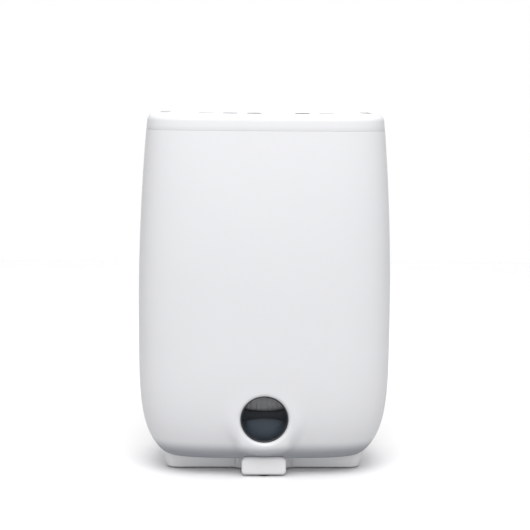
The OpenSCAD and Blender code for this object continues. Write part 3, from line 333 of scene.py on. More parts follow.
# %% Other finishes
def patterned(name, colour_a, colour_b, rough, metallic, texture, settings, stretch, depth, distance):
    made = bpy.data.materials.new(name)
    made.use_nodes = True
    tree = made.node_tree
    shader = tree.nodes["Principled BSDF"]
    put(shader, "Metallic", metallic)
    coords = tree.nodes.new("ShaderNodeTexCoord")
    mapping = tree.nodes.new("ShaderNodeMapping")
    put(mapping, "Scale", stretch)
    pattern = tree.nodes.new(texture)
    for key, value in settings.items():
        if key in pattern.inputs:
            put(pattern, key, value)
        else:
            setattr(pattern, key, value)
    ramp = tree.nodes.new("ShaderNodeValToRGB")
    ramp.color_ramp.elements[0].color = (*colour_a, 1)
    ramp.color_ramp.elements[1].color = (*colour_b, 1)
    ramp.color_ramp.elements[0].position = 0.25
    ramp.color_ramp.elements[1].position = 0.75
    lift = tree.nodes.new("ShaderNodeBump")
    put(lift, "Strength", depth)
    put(lift, "Distance", distance)
    rough_node = tree.nodes.new("ShaderNodeMath")
    rough_node.operation = "MULTIPLY_ADD"
    rough_node.inputs[1].default_value = 0.15
    rough_node.inputs[2].default_value = rough
    out = pattern.outputs["Distance"] if "Distance" in pattern.outputs else pattern.outputs["Fac"]
    for a, b in ((coords.outputs["Object"], mapping.inputs["Vector"]),
                 (mapping.outputs[0], pattern.inputs["Vector"]),
                 (out, ramp.inputs["Fac"]), (ramp.outputs["Color"], shader.inputs["Base Color"]),
                 (out, lift.inputs["Height"]), (lift.outputs["Normal"], shader.inputs["Normal"]),
                 (out, rough_node.inputs[0]), (rough_node.outputs[0], shader.inputs["Roughness"])):
        tree.links.new(a, b)
    return made


steel = patterned("steel", (0.50, 0.51, 0.53), (0.66, 0.67, 0.69), 0.28, 1.0, "ShaderNodeTexNoise",
                  {"Scale": 60.0, "Detail": 5.0}, (1.0, 1.0, 30.0), 0.15, 0.0002)
circuit_board = patterned("circuit_board", (0.015, 0.10, 0.05), (0.04, 0.20, 0.11), 0.35, 0.0, "ShaderNodeTexVoronoi",
                          {"Scale": 160.0, "distance": "CHEBYCHEV"}, (1.0, 1.0, 1.0), 0.3, 0.0002)
ceramic = patterned("ceramic_honeycomb", (0.16, 0.13, 0.09), (0.72, 0.66, 0.55), 0.8, 0.0, "ShaderNodeTexVoronoi",
                    {"Scale": 420.0}, (1.0, 0.02, 1.0), 0.8, 0.001)
filter_cloth = patterned("filter_cloth", (0.02, 0.02, 0.022), (0.10, 0.10, 0.105), 0.7, 0.0, "ShaderNodeTexVoronoi",
                         {"Scale": 520.0, "distance": "CHEBYCHEV", "Randomness": 0.0}, (1.0, 0.02, 1.0), 0.8, 0.0006)

finish_of = {
    "casing_white": casing_white, "inner_grey": inner_grey, "dark_plastic": dark_plastic,
    "button_grey": button_dark, "clear_smoke": smoke_clear, "steel": steel, "circuit_board": circuit_board,
    "desiccant": ceramic, "rubber_black": rubber_black}
slot_of = {part["node"]: part["material_slot"] for part in frame["record"]["subparts"]}
for name, part in frame["nodes"].items():
    finish = finish_of.get(slot_of.get(name, "inner_grey"), inner_grey)
    if name == "filter_mesh":
        finish = filter_cloth
    if not part.material_slots:
        part.data.materials.append(finish)
    for held in part.material_slots:
        held.material = finish
print("parts with a finish", len(frame["nodes"]), "slots", sorted(set(slot_of.values())))

# %% [markdown]
# ## The casing's front
#
# The front half of the casing is one moulding, 3 mm thick, with a round window whose
# edge rolls smoothly inwards, and a short upright neck that leads from the window to
# the toe. It could be cut from a block with Booleans, but the rolled edge would then
# meet the curved skin in a ragged line. Instead a flat sheet is marked out like sheet
# metal: a grid with a square opening, whose edge is extruded ring by ring. The first
# rings ease from the square to a circle, and the rest form the rolled lip and its
# tube. Only then is each point of the sheet laid on the casing's curve, and Solidify
# gives it its wall.

# %% Helpers for modelling
def edit(piece):
    deselect()
    piece.select_set(True)
    bpy.context.view_layer.objects.active = piece
    bpy.ops.object.mode_set(mode="EDIT")
    bpy.ops.mesh.select_mode(type="VERT")


def pick(piece, wanted, kind="VERT"):
    """Selects the vertices, edges or faces whose middle passes the test."""
    bpy.ops.mesh.select_all(action="DESELECT")
    bpy.ops.mesh.select_mode(type=kind)
    mesh = bmesh.from_edit_mesh(piece.data)
    count = 0
    if kind == "VERT":
        for v in mesh.verts:
            if wanted(v.co):
                v.select = True
                count += 1
    else:
        for item in (mesh.faces if kind == "FACE" else mesh.edges):
            middle = sum((v.co for v in item.verts), Vector()) / len(item.verts)
            if wanted(middle, item):
                item.select = True
                count += 1
    mesh.select_flush_mode()
    bmesh.update_edit_mesh(piece.data)
    return count


def leave():
    bpy.ops.object.mode_set(mode="OBJECT")


def apply_all(piece):
    deselect()
    piece.select_set(True)
    bpy.context.view_layer.objects.active = piece
    for modifier in [m.name for m in piece.modifiers]:
        bpy.ops.object.modifier_apply(modifier=modifier)


def outward(piece, facing=None):
    """Merges doubles and turns the faces outwards. An open sheet is told which way it faces."""
    edit(piece)
    bpy.ops.mesh.select_all(action="SELECT")
    bpy.ops.mesh.remove_doubles(threshold=0.00001)
    bpy.ops.mesh.normals_make_consistent(inside=False)
    if facing:
        mesh = bmesh.from_edit_mesh(piece.data)
        if sum(f.normal.dot(Vector(facing)) * f.calc_area() for f in mesh.faces) < 0:
            bpy.ops.mesh.flip_normals()
    leave()


def settle(piece):
    """Puts the object's own turn, size and place into its mesh."""
    deselect()
    piece.select_set(True)
    bpy.context.view_layer.objects.active = piece
    bpy.ops.object.transform_apply(location=True, rotation=True, scale=True)


def smooth(piece, degrees=35):
    deselect()
    piece.select_set(True)
    bpy.context.view_layer.objects.active = piece
    bpy.ops.object.shade_smooth_by_angle(angle=math.radians(degrees))


def finish_piece(piece, name, finish, body, slot, *replaced):
    piece.name = name
    piece.data.name = name
    piece.data.materials.clear()
    piece.data.materials.append(finish)
    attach(piece, body)
    if replaced:
        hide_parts(*replaced)
    print(name, len(piece.data.vertices), "points", len(piece.data.polygons), "faces")
    return piece


def soft_edges(piece, width, segments, angle):
    """Adds a bevel, width in millimetres, on every edge that is sharper than the angle."""
    bevel = piece.modifiers.new("soft edges", "BEVEL")
    bevel.width = width * mm
    bevel.segments = segments
    bevel.limit_method = "ANGLE"
    bevel.angle_limit = math.radians(angle)


# %% Sheet layout
column_w, columns = 5.25, 90
lip_top = bottom_z + 3.3
straight_half, straight_easing = 70, 40  # the middle of the sheet keeps its columns straight, then eases off
low_rows = [bottom_z, bottom_z + 2.4, lip_top, 28.5]
patch_half, patch_row_h = 10, 5.3  # the window's square: cells each side of its middle, and a row's height
patch_rows = [port_z - 53 + patch_row_h * i for i in range(2 * patch_half + 1)]
high_rows = [patch_rows[-1] + (seam_z - patch_rows[-1]) * (i / 34) for i in range(1, 35)]
rows = low_rows + patch_rows + high_rows
port_row = len(low_rows) + patch_half

arc_table = []
walked, last = 0.0, None
for i in range(3601):
    t = math.radians(90 * i / 3600)
    spot = (math.sin(t) ** 0.5, math.cos(t) ** 0.5)
    if last:
        walked += math.hypot((spot[0] - last[0]) * body_w, (spot[1] - last[1]) * body_d)
    arc_table.append((walked, spot))
    last = spot
arc_marks = [a for a, _ in arc_table]


def on_arc(u):
    """A point on the plan, in half sizes, a part u of the way from the middle to the side."""
    want = abs(u) * walked
    i = min(max(bisect.bisect_left(arc_marks, want), 1), len(arc_marks) - 1)
    a0, p0 = arc_table[i - 1]
    a1, p1 = arc_table[i]
    k = (want - a0) / (a1 - a0) if a1 > a0 else 0
    x, y = p0[0] + (p1[0] - p0[0]) * k, p0[1] + (p1[1] - p0[1]) * k
    return math.copysign(x, u), y


def row_height(v):
    i = min(max(int(math.floor(v)), 0), len(rows) - 2)
    return rows[i] + (rows[i + 1] - rows[i]) * (v - i)


def front_reach(x, z):
    """How far in front of the middle the front skin stands, with the window's swelling and neck."""
    base = skin_y(x, z)
    r = math.hypot(x, z - port_z)
    near_port = ease((60 - r) / (60 - 37.8))
    neck_y = 74.5 + (port_y - 74.5) * ease((z - 26) / (53 - 26)) ** 0.8
    near_neck = ease((41 - abs(x)) / 11.0) if z < port_z else 0.0
    reach = base + max(0.0, neck_y - base) * near_neck if z < port_z - 8 else base
    return reach + (port_y - reach) * near_port


def sheet_point(u, v, depth, back=False):
    """Turns a place on the flat sheet, and a depth below it, into a point of the casing."""
    s = (u - columns / 2) * column_w
    z = row_height(v)
    half = columns / 2 * column_w
    ax, ay = on_arc(s / half)
    k = ease((abs(s) - straight_half) / straight_easing)
    x = s + (half_w(z) * ax - s) * k
    if k < 1:
        y = skin_y(x, z) if back else front_reach(x, z)
    else:
        y = half_d(z) * ay
    if z < lip_top - 0.01:
        inset = 1.1 * min(1.0, (lip_top - z) / 0.9)
        x *= 1 - inset / half_w(z)
        y *= 1 - inset / half_d(z)
    y -= depth
    return Vector((x, y if back else -y, z)) * mm


# %% Front sheet
def casing_sheet():
    deselect()
    bpy.ops.mesh.primitive_grid_add(x_subdivisions=columns, y_subdivisions=len(rows) - 1, size=1.0,
                                    location=(0, 0, 0))
    sheet = bpy.context.object
    edit(sheet)
    bpy.ops.mesh.select_all(action="SELECT")
    bpy.ops.transform.translate(value=(0.5, 0.5, 0))
    bpy.ops.transform.resize(value=(columns, len(rows) - 1, 1), center_override=(0, 0, 0))
    return sheet


front = casing_sheet()
pick(front, lambda c, f: abs(c.x - columns / 2) < 5 and c.y < 3, "FACE")
bpy.ops.mesh.delete(type="FACE")
pick(front, lambda c, f: abs(c.x - columns / 2) < patch_half and abs(c.y - port_row) < patch_half, "FACE")
bpy.ops.mesh.delete(type="FACE")
roll_r = port_r + port_roll
square_edge = pick(front, lambda c, e: e.is_boundary
                   and abs(max(abs(c.x - columns / 2), abs(c.y - port_row)) - patch_half) < 0.1, "EDGE")
easing_rings = 7
rolled = [(roll_r - port_roll * math.sin(math.radians(a)), port_roll * (1 - math.cos(math.radians(a))))
          for a in (12, 26, 40, 54, 68, 80, 90)] + [(port_r, 9.0), (port_r, port_tube)]
for ring in range(easing_rings + len(rolled)):
    bpy.ops.mesh.extrude_region_move(TRANSFORM_OT_translate={"value": (0, 0, 1)})
leave()
print("window opening edges", square_edge)


def ring_place(u, v, ring):
    """Where a point of one of the window's rings lies on the flat sheet, and how deep."""
    du, dv = u - columns / 2, v - port_row
    if abs(du) >= abs(dv):
        turn = 45 * dv / patch_half if du > 0 else 180 - 45 * dv / patch_half
    else:
        turn = 90 - 45 * du / patch_half if dv > 0 else 270 + 45 * du / patch_half
    turn = math.radians(turn)
    k = min(1.0, ring / easing_rings)
    r, depth = (roll_r, 0.0) if ring <= easing_rings else rolled[ring - easing_rings - 1]
    x = du * (1 - k) + r / column_w * math.cos(turn) * k
    y = dv * (1 - k) + r / patch_row_h * math.sin(turn) * k
    return columns / 2 + x, port_row + y, depth


for v in front.data.vertices:
    ring = int(round(v.co.z))
    if ring:
        v.co = ring_place(v.co.x, v.co.y, ring)
for v in front.data.vertices:
    v.co = sheet_point(v.co.x, v.co.y, v.co.z)
outward(front, (0, -1, 0))
front_wall = front.modifiers.new("wall", "SOLIDIFY")
front_wall.thickness = wall * mm
front_wall.offset = -1
apply_all(front)
smooth(front)
finish_piece(front, "casing_front", casing_low, "housing", "casing_white", "front_shell")

# %% [markdown]
# ## The casing's back
#
# The back half is the same kind of sheet without a window. Its openings are plain
# ones, so here a Boolean is the right tool: the filter's opening, the tank's opening,
# four screw holes, and the holes of the drain spigot and the cord gland are cut with
# rounded blocks and rods after the wall has its thickness.

# %% Cutters
def rounded_block(low, high, radius, axis="Y", segments=8):
    """A block between two corners, in millimetres, with its four edges along one axis rounded."""
    deselect()
    middle = [(a + b) / 2 * mm for a, b in zip(low, high)]
    bpy.ops.mesh.primitive_cube_add(size=1.0, location=middle,
                                    scale=[(b - a) * mm for a, b in zip(low, high)])
    block = bpy.context.object
    settle(block)
    along = "XYZ".index(axis)
    edit(block)
    pick(block, lambda c, e: abs((e.verts[0].co - e.verts[1].co)[along]) > 1e-6, "EDGE")
    if radius:
        bpy.ops.mesh.bevel(offset=radius * mm, segments=segments, affect="EDGES")
    leave()
    return block


def rod(place, radius, length, axis="Y", vertices=48):
    """A round bar whose middle is at place."""
    deselect()
    turn = {"X": (0, math.pi / 2, 0), "Y": (math.pi / 2, 0, 0), "Z": (0, 0, 0)}[axis]
    bpy.ops.mesh.primitive_cylinder_add(vertices=vertices, radius=radius * mm, depth=length * mm,
                                        location=[p * mm for p in place], rotation=turn)
    bar = bpy.context.object
    settle(bar)
    return bar


def cut(piece, cutters, operation="DIFFERENCE"):
    for cutter in cutters:
        hole = piece.modifiers.new("hole", "BOOLEAN")
        hole.operation = operation
        hole.solver = "EXACT"
        hole.object = cutter
        deselect()
        piece.select_set(True)
        bpy.context.view_layer.objects.active = piece
        bpy.ops.object.modifier_apply(modifier=hole.name)
        bpy.data.objects.remove(cutter)


# %% Back sheet
def back_wall(name):
    sheet = casing_sheet()
    leave()
    for v in sheet.data.vertices:
        v.co = sheet_point(v.co.x, v.co.y, v.co.z, back=True)
    outward(sheet, (0, 1, 0))
    thick = sheet.modifiers.new("wall", "SOLIDIFY")
    thick.thickness = wall * mm
    thick.offset = -1
    apply_all(sheet)
    return sheet


gap = 0.5
filter_low, filter_high = [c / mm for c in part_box("filter_frame")[0]], [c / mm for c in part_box("filter_frame")[1]]
face_low, face_high = [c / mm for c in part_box("tank_face")[0]], [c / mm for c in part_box("tank_face")[1]]
gland_low, gland_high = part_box("cord_gland")
gland_x = (gland_low.x + gland_high.x) / 2 / mm
gland_z = (gland_low.z + gland_high.z) / 2 / mm
screw_x, screw_zs = 134.0, (seam_z - 48.6, 142.5)
rear = back_wall("rear")
cut(rear, [rounded_block((filter_low[0] - gap, 40, filter_low[2] - gap),
                         (filter_high[0] + gap, 130, filter_high[2] + gap), 8),
           rounded_block((face_low[0] - gap, 40, face_low[2] - gap),
                         (face_high[0] + gap, 130, face_high[2] + gap), 3)]
    + [rod((s * gland_x, 80, gland_z), 6.6, 60) for s in (-1, 1)]
    + [rod((s * screw_x, 80, z), 4.6, 60) for s in (-1, 1) for z in screw_zs])
smooth(rear)
finish_piece(rear, "casing_back", casing_low, "housing", "casing_white", "rear_shell")

# %% Screw wells
deselect()
bpy.ops.mesh.primitive_cylinder_add(vertices=40, radius=6.4 * mm, depth=18 * mm, rotation=(math.pi / 2, 0, 0))
well = bpy.context.object
settle(well)
edit(well)
pick(well, lambda c, f: c.y > 8.9 * mm, "FACE")
bpy.ops.mesh.inset(thickness=1.75 * mm)
bpy.ops.mesh.extrude_region_move(TRANSFORM_OT_translate={"value": (0, -14.5 * mm, 0)})
leave()
wells = []
for s in (-1, 1):
    for z in screw_zs:
        copy = well.copy()
        copy.data = well.data.copy()
        scene.collection.objects.link(copy)
        copy.location = (s * screw_x * mm, (skin_y(screw_x, z) - 10.2) * mm, z * mm)
        settle(copy)
        wells.append(copy)
bpy.data.objects.remove(well)
deselect()
for copy in wells:
    copy.select_set(True)
bpy.context.view_layer.objects.active = wells[0]
bpy.ops.object.join()
smooth(wells[0])
finish_piece(wells[0], "screw_wells", casing_white, "housing", "casing_white")

# %% [markdown]
# ## The tank's own face
#
# The water tank closes the back of the casing with a face that carries on the same
# curve, with a hollow for the fingers. It could be a separate curved plate, but then
# its curve could drift from the casing's, so it is taken out of a second copy of the
# back wall with an intersecting block. The finger hollow is a rounded cup.

# %% Tank face
tank_skin = back_wall("tank_skin")
cut(tank_skin, [rounded_block((face_low[0], 50, face_low[2]), (face_high[0], 130, face_high[2]), 3)], "INTERSECT")
hollow_z = (face_low[2] + face_high[2]) / 2 + 6
cut(tank_skin, [rounded_block((-48, 60, hollow_z - 13), (48, 130, hollow_z + 13), 10)])
smooth(tank_skin)
finish_piece(tank_skin, "tank_back_face", casing_low, "tank", "casing_white", "tank_face")

hollow = rounded_block((-49.5, 77.2, hollow_z - 14.5), (49.5, skin_y(0, hollow_z) - 1.6, hollow_z + 14.5), 11)
edit(hollow)
pick(hollow, lambda c, f: f.normal.y > 0.9, "FACE")
bpy.ops.mesh.inset(thickness=1.6 * mm)
bpy.ops.mesh.extrude_region_move(TRANSFORM_OT_translate={"value": (0, -10.5 * mm, 0)})
leave()
smooth(hollow)
finish_piece(hollow, "tank_finger_hollow", inner_grey, "tank", "inner_grey")

# %% [markdown]
# ## Top cover
#
# The cover drops onto the casing with a thin dark seam and rounds over into a flat
# deck. It is drawn as rings: one circle is extruded up and in, ring by ring, like
# turning a bowl, and then every ring is laid on the casing's squared oval. A bevelled
# block would not follow the lean of the sides. The deck's openings are cut afterwards.

# %% Cover rings
cover_low, cover_step, cover_round = seam_z + 0.12, 0.22, 10.0
cover_rings = [(cover_step, cover_low), (cover_step, cover_low + 6)]
cover_rings += [(cover_step + cover_round * (1 - math.cos(math.radians(a))),
                 rim_z - cover_round + cover_round * math.sin(math.radians(a))) for a in range(0, 91, 10)]
cover_rings += [(cover_step + cover_round + 8, rim_z)]
deselect()
bpy.ops.mesh.primitive_circle_add(vertices=144, radius=1.0, location=(0, 0, 0))
cover = bpy.context.object
edit(cover)
bpy.ops.mesh.select_all(action="SELECT")
for i in range(1, len(cover_rings)):
    bpy.ops.mesh.extrude_region_move(TRANSFORM_OT_translate={"value": (0, 0, 1)})
bpy.ops.mesh.edge_face_add()
leave()
for v in cover.data.vertices:
    inset, z = cover_rings[int(round(v.co.z))]
    turn = math.atan2(v.co.x, -v.co.y)
    fold = turn if abs(turn) <= math.pi / 2 else math.copysign(math.pi - abs(turn), turn)
    x, y = on_arc(fold / (math.pi / 2))
    front_side = -1 if abs(turn) <= math.pi / 2 else 1
    v.co = Vector(((half_w(z) - inset) * x, front_side * (half_d(z) - inset) * y, z)) * mm
outward(cover, (0, 0, 1))
shell = cover.modifiers.new("wall", "SOLIDIFY")
shell.thickness = wall * mm
shell.offset = -1
apply_all(cover)
print("cover rings", len(cover_rings))

# %% Cover openings
flap_low, flap_high = [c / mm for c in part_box("outlet_flap")[0]], [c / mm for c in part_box("outlet_flap")[1]]
button_low, button_high = [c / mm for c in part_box("button_1")[0]], [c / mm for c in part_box("button_1")[1]]
button_y = (button_low[1] + button_high[1]) / 2
pitch, button_r = 32.4, 10.0
slots = (-2.5, -1.5, -0.5, 1.5, 2.5)
display_x = 0.5 * pitch
cup_low, cup_high = [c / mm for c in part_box("grip_cup_right")[0]], [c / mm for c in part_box("grip_cup_right")[1]]
cup_wall = 1.6
flap_half = flap_high[0] - 3.2
flap_front, flap_back = flap_low[1], flap_high[1]
openings = [rounded_block((-flap_half - gap, flap_front - gap, 470), (flap_half + gap, flap_back + gap, 520), 3, "Z"),
            rod((display_x, button_y, rim_z), button_r + 0.1, 30, "Z", 64)]
openings += [rod((s * pitch, button_y, rim_z), button_r + 0.35, 30, "Z", 64) for s in slots]
for s in (-1, 1):
    x0, x1 = sorted((s * (cup_low[0] + cup_wall), s * (cup_high[0] - cup_wall)))
    openings.append(rounded_block((x0, cup_low[1] + cup_wall, 480), (x1, cup_high[1] - cup_wall, 520), 6.4, "Z"))
cut(cover, openings)
soft_edges(cover, 0.35, 2, 60)
apply_all(cover)
smooth(cover)
finish_piece(cover, "top_deck", casing_white, "housing", "casing_white", "top_cover")

# %% [markdown]
# ## Outlet flap
#
# The flap is a shallow arch, hinged along its back edge. It starts as a flat grid that
# is laid over the arch, gets its thickness from Solidify, and its edges are softened
# with a bevel. A lip at the front and a round barrel at the back are extruded and
# added, because those are what show when the flap stands open.

# %% Flap
flap_crown = overall_h - rim_z
hinge_y, hinge_z, barrel_r = flap_back - 2.6, rim_z - 2.6, 2.6


def arch(u):
    a = math.radians(180 * min(1.0, max(0.0, u)))
    return rim_z + 0.2 + (flap_crown - 0.35) * math.sin(a) * (1 - 0.25 * math.cos(a))


deselect()
bpy.ops.mesh.primitive_grid_add(x_subdivisions=48, y_subdivisions=24, size=1.0)
flap = bpy.context.object
for v in flap.data.vertices:
    u = v.co.y + 0.5
    y = flap_front + (hinge_y - flap_front) * u
    v.co = Vector((v.co.x * 2 * flap_half, y, arch(u))) * mm
edit(flap)
pick(flap, lambda c, e: e.is_boundary and c.y < (flap_front + 0.5) * mm, "EDGE")
bpy.ops.mesh.extrude_region_move(TRANSFORM_OT_translate={"value": (0, 0.2 * mm, -3.0 * mm)})
leave()
outward(flap, (0, 0, 1))
plate = flap.modifiers.new("plate", "SOLIDIFY")
plate.thickness = 2.4 * mm
plate.offset = -1
soft_edges(flap, 0.6, 3, 50)
apply_all(flap)
barrel = rod((0, hinge_y, hinge_z), barrel_r, 2 * flap_half, "X", 40)
pins = rod((0, hinge_y, hinge_z), 2.0, 2 * flap_half + 6.0, "X", 32)
deselect()
for part in (barrel, pins, flap):
    part.select_set(True)
bpy.context.view_layer.objects.active = flap
bpy.ops.object.join()
smooth(flap, 40)
finish_piece(flap, "air_flap", casing_white, "flap", "casing_white", "outlet_flap")

# %% [markdown]
# ## Buttons and display
#
# The buttons are small dished discs in a row near the front edge. One is modelled:
# a short cylinder whose top face is inset and sunk a little, with a softened rim. It
# is copied along the row, each copy with its own mesh. The display is a flush white
# disc with a fine groove round it, because it only shows when it is lit.

# %% Buttons
def dished_disc(place, radius, low, high, dish, edge):
    deselect()
    bpy.ops.mesh.primitive_cylinder_add(vertices=64, radius=radius * mm, depth=(high - low) * mm,
                                        location=(place[0] * mm, place[1] * mm, (low + high) / 2 * mm))
    disc = bpy.context.object
    settle(disc)
    edit(disc)
    pick(disc, lambda c, f: f.normal.z > 0.9, "FACE")
    bpy.ops.mesh.bevel(offset=edge * mm, segments=4, affect="EDGES")
    pick(disc, lambda c, f: f.normal.z > 0.99 and c.z > (high - 0.05) * mm, "FACE")
    for k in range(5):
        bpy.ops.mesh.inset(thickness=radius * 0.17 * mm)
        bpy.ops.transform.translate(value=(0, 0, -dish * (5 - k) / 15 * mm))
    leave()
    smooth(disc)
    return disc


button_top = button_high[2]
button_tones = (button_pale, button_mid, button_dark, button_dark, button_pale)
first = dished_disc((0, button_y), button_r, rim_z - 4.6, button_top, 0.5, 0.5)
for index, s in enumerate(slots):
    key = first.copy()
    key.data = first.data.copy()
    scene.collection.objects.link(key)
    key.location = (s * pitch * mm, 0, 0)
    settle(key)
    number = ("one", "two", "three", "four", "five")[index]
    finish_piece(key, "key_" + number, button_tones[index], "button_" + number, "button_grey",
                 "button_%d" % (index + 1))
bpy.data.objects.remove(first)
window_disc = dished_disc((display_x, button_y), button_r - 0.1, rim_z - 4, rim_z, 0.1, 0.3)
finish_piece(window_disc, "display_disc", casing_white, "housing", "casing_white", "display_lens")

# %% [markdown]
# ## The round window
#
# Behind the rolled edge sits a dark ring that holds a slightly domed clear lens.
# Both are turned parts, so each starts as a cylinder and is shaped by insets.

# %% Ring and lens
ring_low, ring_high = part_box("porthole_bezel")
lens_low, lens_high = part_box("porthole_lens")
ring_front, ring_back = ring_low.y / mm, ring_high.y / mm
ring = rod((0, (ring_front + ring_back) / 2, port_z), port_r - 0.1, ring_back - ring_front, "Y", 96)
edit(ring)
pick(ring, lambda c, f: abs(f.normal.y) > 0.9, "FACE")
bpy.ops.mesh.inset(thickness=1.9 * mm)
bpy.ops.mesh.delete(type="FACE")
pick(ring, lambda c, e: e.is_boundary, "EDGE")
bpy.ops.mesh.bridge_edge_loops()
leave()
soft_edges(ring, 0.5, 3, 50)
apply_all(ring)
outward(ring)
smooth(ring, 40)
finish_piece(ring, "window_ring", dark_plastic, "housing", "dark_plastic", "porthole_bezel")

lens_r = port_r - 2.1
lens = rod((0, (lens_low.y + lens_high.y) / 2 / mm, port_z), lens_r, (lens_high.y - lens_low.y) / mm, "Y", 96)
edit(lens)
for side in (-1, 1):
    pick(lens, lambda c, f: f.normal.y * side > 0.99 and len(f.verts) > 20, "FACE")
    for k in range(6):
        bpy.ops.mesh.inset(thickness=lens_r * 0.14 * mm)
        bpy.ops.transform.translate(value=(0, -0.22 * (6 - k) / 3.5 * mm, 0))
leave()
smooth(lens, 40)
finish_piece(lens, "window_lens", lens_clear, "housing", "clear_smoke", "porthole_lens")

# %% [markdown]
# ## What the window shows
#
# Through the lens the front of the tank can be seen: a fluted wall above, a dark
# waisted carrying bar across the middle, and a dark rounded wall below. These ride on
# the tank, so the view changes when the tank is out. The bar is a long block that is
# subdivided and drawn in at its middle. The flutes are one grid laid over a row of
# soft ribs.

# %% Carrying bar
bar_low, bar_high = [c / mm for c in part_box("tank_grip")[0]], [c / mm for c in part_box("tank_grip")[1]]
bar_z = (bar_low[2] + bar_high[2]) / 2
bar_half = bar_high[0]
deselect()
bpy.ops.mesh.primitive_cube_add(size=1.0, location=(0, (bar_low[1] + 2.5) * mm, bar_z * mm),
                                scale=(2 * bar_half * mm, 5 * mm, 1 * mm))
bar = bpy.context.object
settle(bar)
edit(bar)
pick(bar, lambda c, e: abs(e.verts[0].co.x - e.verts[1].co.x) > 1e-6, "EDGE")
bpy.ops.mesh.subdivide(number_cuts=23)
leave()
bar_waist = 5.3  # half the bar's height at its middle
for v in bar.data.vertices:
    reach = bar_waist + (bar_high[2] - bar_z - bar_waist) * (abs(v.co.x) / mm / bar_half) ** 2
    v.co.z = (bar_z + math.copysign(reach, v.co.z / mm - bar_z)) * mm
soft_edges(bar, 1.4, 4, 50)
apply_all(bar)
posts = [rounded_block((s * 31 - 5, bar_low[1] + 4, bar_z - 6), (s * 31 + 5, bar_high[1], bar_z + 6), 2, "Y", 3)
         for s in (-1, 1)]
deselect()
for part in posts + [bar]:
    part.select_set(True)
bpy.context.view_layer.objects.active = bar
bpy.ops.object.join()
smooth(bar)
finish_piece(bar, "carrying_bar", tank_navy, "tank", "dark_plastic", "tank_grip")

# %% Fluted tank wall
tank_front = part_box("tank_body")[0].y / mm
fluted_grey = moulded("fluted_grey", (0.34, 0.345, 0.355), (0.52, 0.525, 0.535), 0.20, 900, 0.08, 0.3)
dome_navy = moulded("dome_navy", (0.050, 0.072, 0.105), (0.088, 0.108, 0.140), 0.30, 900, 0.10, 0.2, 1.0, 0.4)
deselect()
bpy.ops.mesh.primitive_grid_add(x_subdivisions=120, y_subdivisions=8, size=1.0)
flutes = bpy.context.object
for v in flutes.data.vertices:
    x = v.co.x * 76
    z = 77 + (v.co.y + 0.5) * 37
    y = tank_front - 0.9 - 0.8 * abs(math.cos(math.pi * x / 7.6)) ** 0.6
    v.co = Vector((x, y, z)) * mm
outward(flutes, (0, -1, 0))
thick = flutes.modifiers.new("wall", "SOLIDIFY")
thick.thickness = 0.8 * mm
thick.offset = -1
apply_all(flutes)
smooth(flutes, 50)
finish_piece(flutes, "fluted_wall", fluted_grey, "tank", "dark_plastic")

deselect()
bpy.ops.mesh.primitive_uv_sphere_add(segments=64, ring_count=32, radius=1.0)
dome = bpy.context.object
edit(dome)
pick(dome, lambda c: c.y > 0.001)
bpy.ops.mesh.delete(type="VERT")
pick(dome, lambda c, e: e.is_boundary, "EDGE")
bpy.ops.mesh.edge_face_add()
bpy.ops.mesh.select_all(action="SELECT")
bpy.ops.transform.resize(value=(40 * mm, 5.5 * mm, 27 * mm), center_override=(0, 0, 0))
bpy.ops.transform.translate(value=(0, (tank_front - 0.1) * mm, 59 * mm))
leave()
outward(dome)
smooth(dome, 50)
finish_piece(dome, "rounded_wall", dome_navy, "tank", "dark_plastic")

# %% [markdown]
# ## Plinth and toe
#
# The machine stands on a recessed plinth whose sides spread a little towards the top,
# and on a small rounded toe that carries the window's neck down to the floor. Both are
# blocks with their upright edges rounded. The toe is drawn out of the plinth's front
# face, so the inside corners between them can be bevelled into hollow curves.

# %% Plinth
plinth_low, plinth_high = [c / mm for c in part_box("plinth")[0]], [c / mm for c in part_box("plinth")[1]]
foot_z, ledge_z = plinth_low[2], bottom_z - gap
deselect()
plinth_half, plinth_flare = 138.0, 4.0
bpy.ops.mesh.primitive_cube_add(
    size=1.0, location=(0, (plinth_low[1] + plinth_high[1]) / 2 * mm, (foot_z + ledge_z) / 2 * mm),
    scale=(2 * plinth_half * mm, (plinth_high[1] - plinth_low[1]) * mm, (ledge_z - foot_z) * mm))
plinth = bpy.context.object
settle(plinth)
edit(plinth)
for front_edge, radius in ((True, 16), (False, 32)):
    pick(plinth, lambda c, e: abs(e.verts[0].co.z - e.verts[1].co.z) > 1e-4 and (c.y < 0) == front_edge
         and abs(abs(c.x) - plinth_half * mm) < 1e-5, "EDGE")
    bpy.ops.mesh.bevel(offset=radius * mm, segments=12, affect="EDGES")
pick(plinth, lambda c: c.z > (ledge_z - 0.1) * mm)
widen = (plinth_half + plinth_flare) / plinth_half
bpy.ops.transform.resize(value=(widen, 1, 1), center_override=(0, 0, ledge_z * mm))
leave()
soft_edges(plinth, 1.5, 4, 60)
apply_all(plinth)
smooth(plinth)
finish_piece(plinth, "floor_plinth", plinth_painted_light, "housing", "casing_white", "plinth")

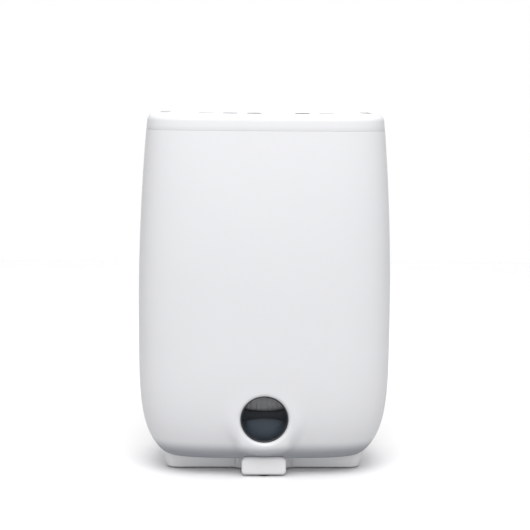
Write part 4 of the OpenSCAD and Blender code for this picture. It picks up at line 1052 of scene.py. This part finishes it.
# %% Toe
toe_half, toe_top, toe_front = 31.0, 28.0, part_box("toe_foot")[0].y / mm
block_top = 23.3  # the toe's arms stop here, below the casing, and only its middle rises to toe_top
plinth_front = plinth_low[1]
deselect()
bpy.ops.mesh.primitive_cube_add(size=1.0, location=(0, (plinth_front + 1.5) * mm, (foot_z + block_top) / 2 * mm),
                                scale=(2 * (toe_half + 9) * mm, 3 * mm, (block_top - foot_z) * mm))
toe = bpy.context.object
settle(toe)
edit(toe)
for side in (-1, 1):
    bpy.ops.mesh.select_all(action="SELECT")
    bpy.ops.mesh.bisect(plane_co=(side * toe_half * mm, 0, 0), plane_no=(1, 0, 0))
pick(toe, lambda c, f: f.normal.y < -0.9 and abs(c.x) < 1 * mm, "FACE")
bpy.ops.mesh.extrude_region_move(TRANSFORM_OT_translate={"value": (0, (toe_front - plinth_front) * mm, 0)})
pick(toe, lambda c, f: f.normal.z > 0.9 and abs(c.x) < 1 * mm and c.y < (plinth_front - 1) * mm, "FACE")
bpy.ops.mesh.extrude_region_move(TRANSFORM_OT_translate={"value": (0, 0, (toe_top - block_top) * mm)})
pick(toe, lambda c, e: abs(c.z - block_top * mm) < 1e-5 and c.y < (plinth_front - 0.5) * mm, "EDGE")
bpy.ops.mesh.dissolve_edges(use_verts=True)
pick(toe, lambda c, e: abs(e.verts[0].co.z - e.verts[1].co.z) > 5 * mm and abs(abs(c.x) - toe_half * mm) < 1e-4
     and abs(c.y - plinth_front * mm) < 1e-4 and c.z < 23 * mm, "EDGE")
bpy.ops.mesh.bevel(offset=8.5 * mm, segments=8, affect="EDGES")
pick(toe, lambda c, e: abs(abs(c.x) - toe_half * mm) < 1e-5 and abs(c.z - toe_top * mm) < 1e-5
     and abs(e.verts[0].co.y - e.verts[1].co.y) > 1e-4, "EDGE")
bpy.ops.mesh.bevel(offset=9.5 * mm, segments=8, affect="EDGES")
pick(toe, lambda c, e: abs(abs(c.x) - toe_half * mm) < 1e-5 and abs(c.z - foot_z * mm) < 1e-5
     and abs(e.verts[0].co.y - e.verts[1].co.y) > 1e-4 and c.y < (plinth_front - 1) * mm, "EDGE")
bpy.ops.mesh.bevel(offset=5.6 * mm, segments=6, affect="EDGES")
pick(toe, lambda c, e: c.y < (toe_front + 0.1) * mm, "EDGE")
bpy.ops.mesh.bevel(offset=4.7 * mm, segments=8, affect="EDGES")
leave()
outward(toe)
smooth(toe)
finish_piece(toe, "toe", plinth_painted_light, "housing", "casing_white", "toe_foot")
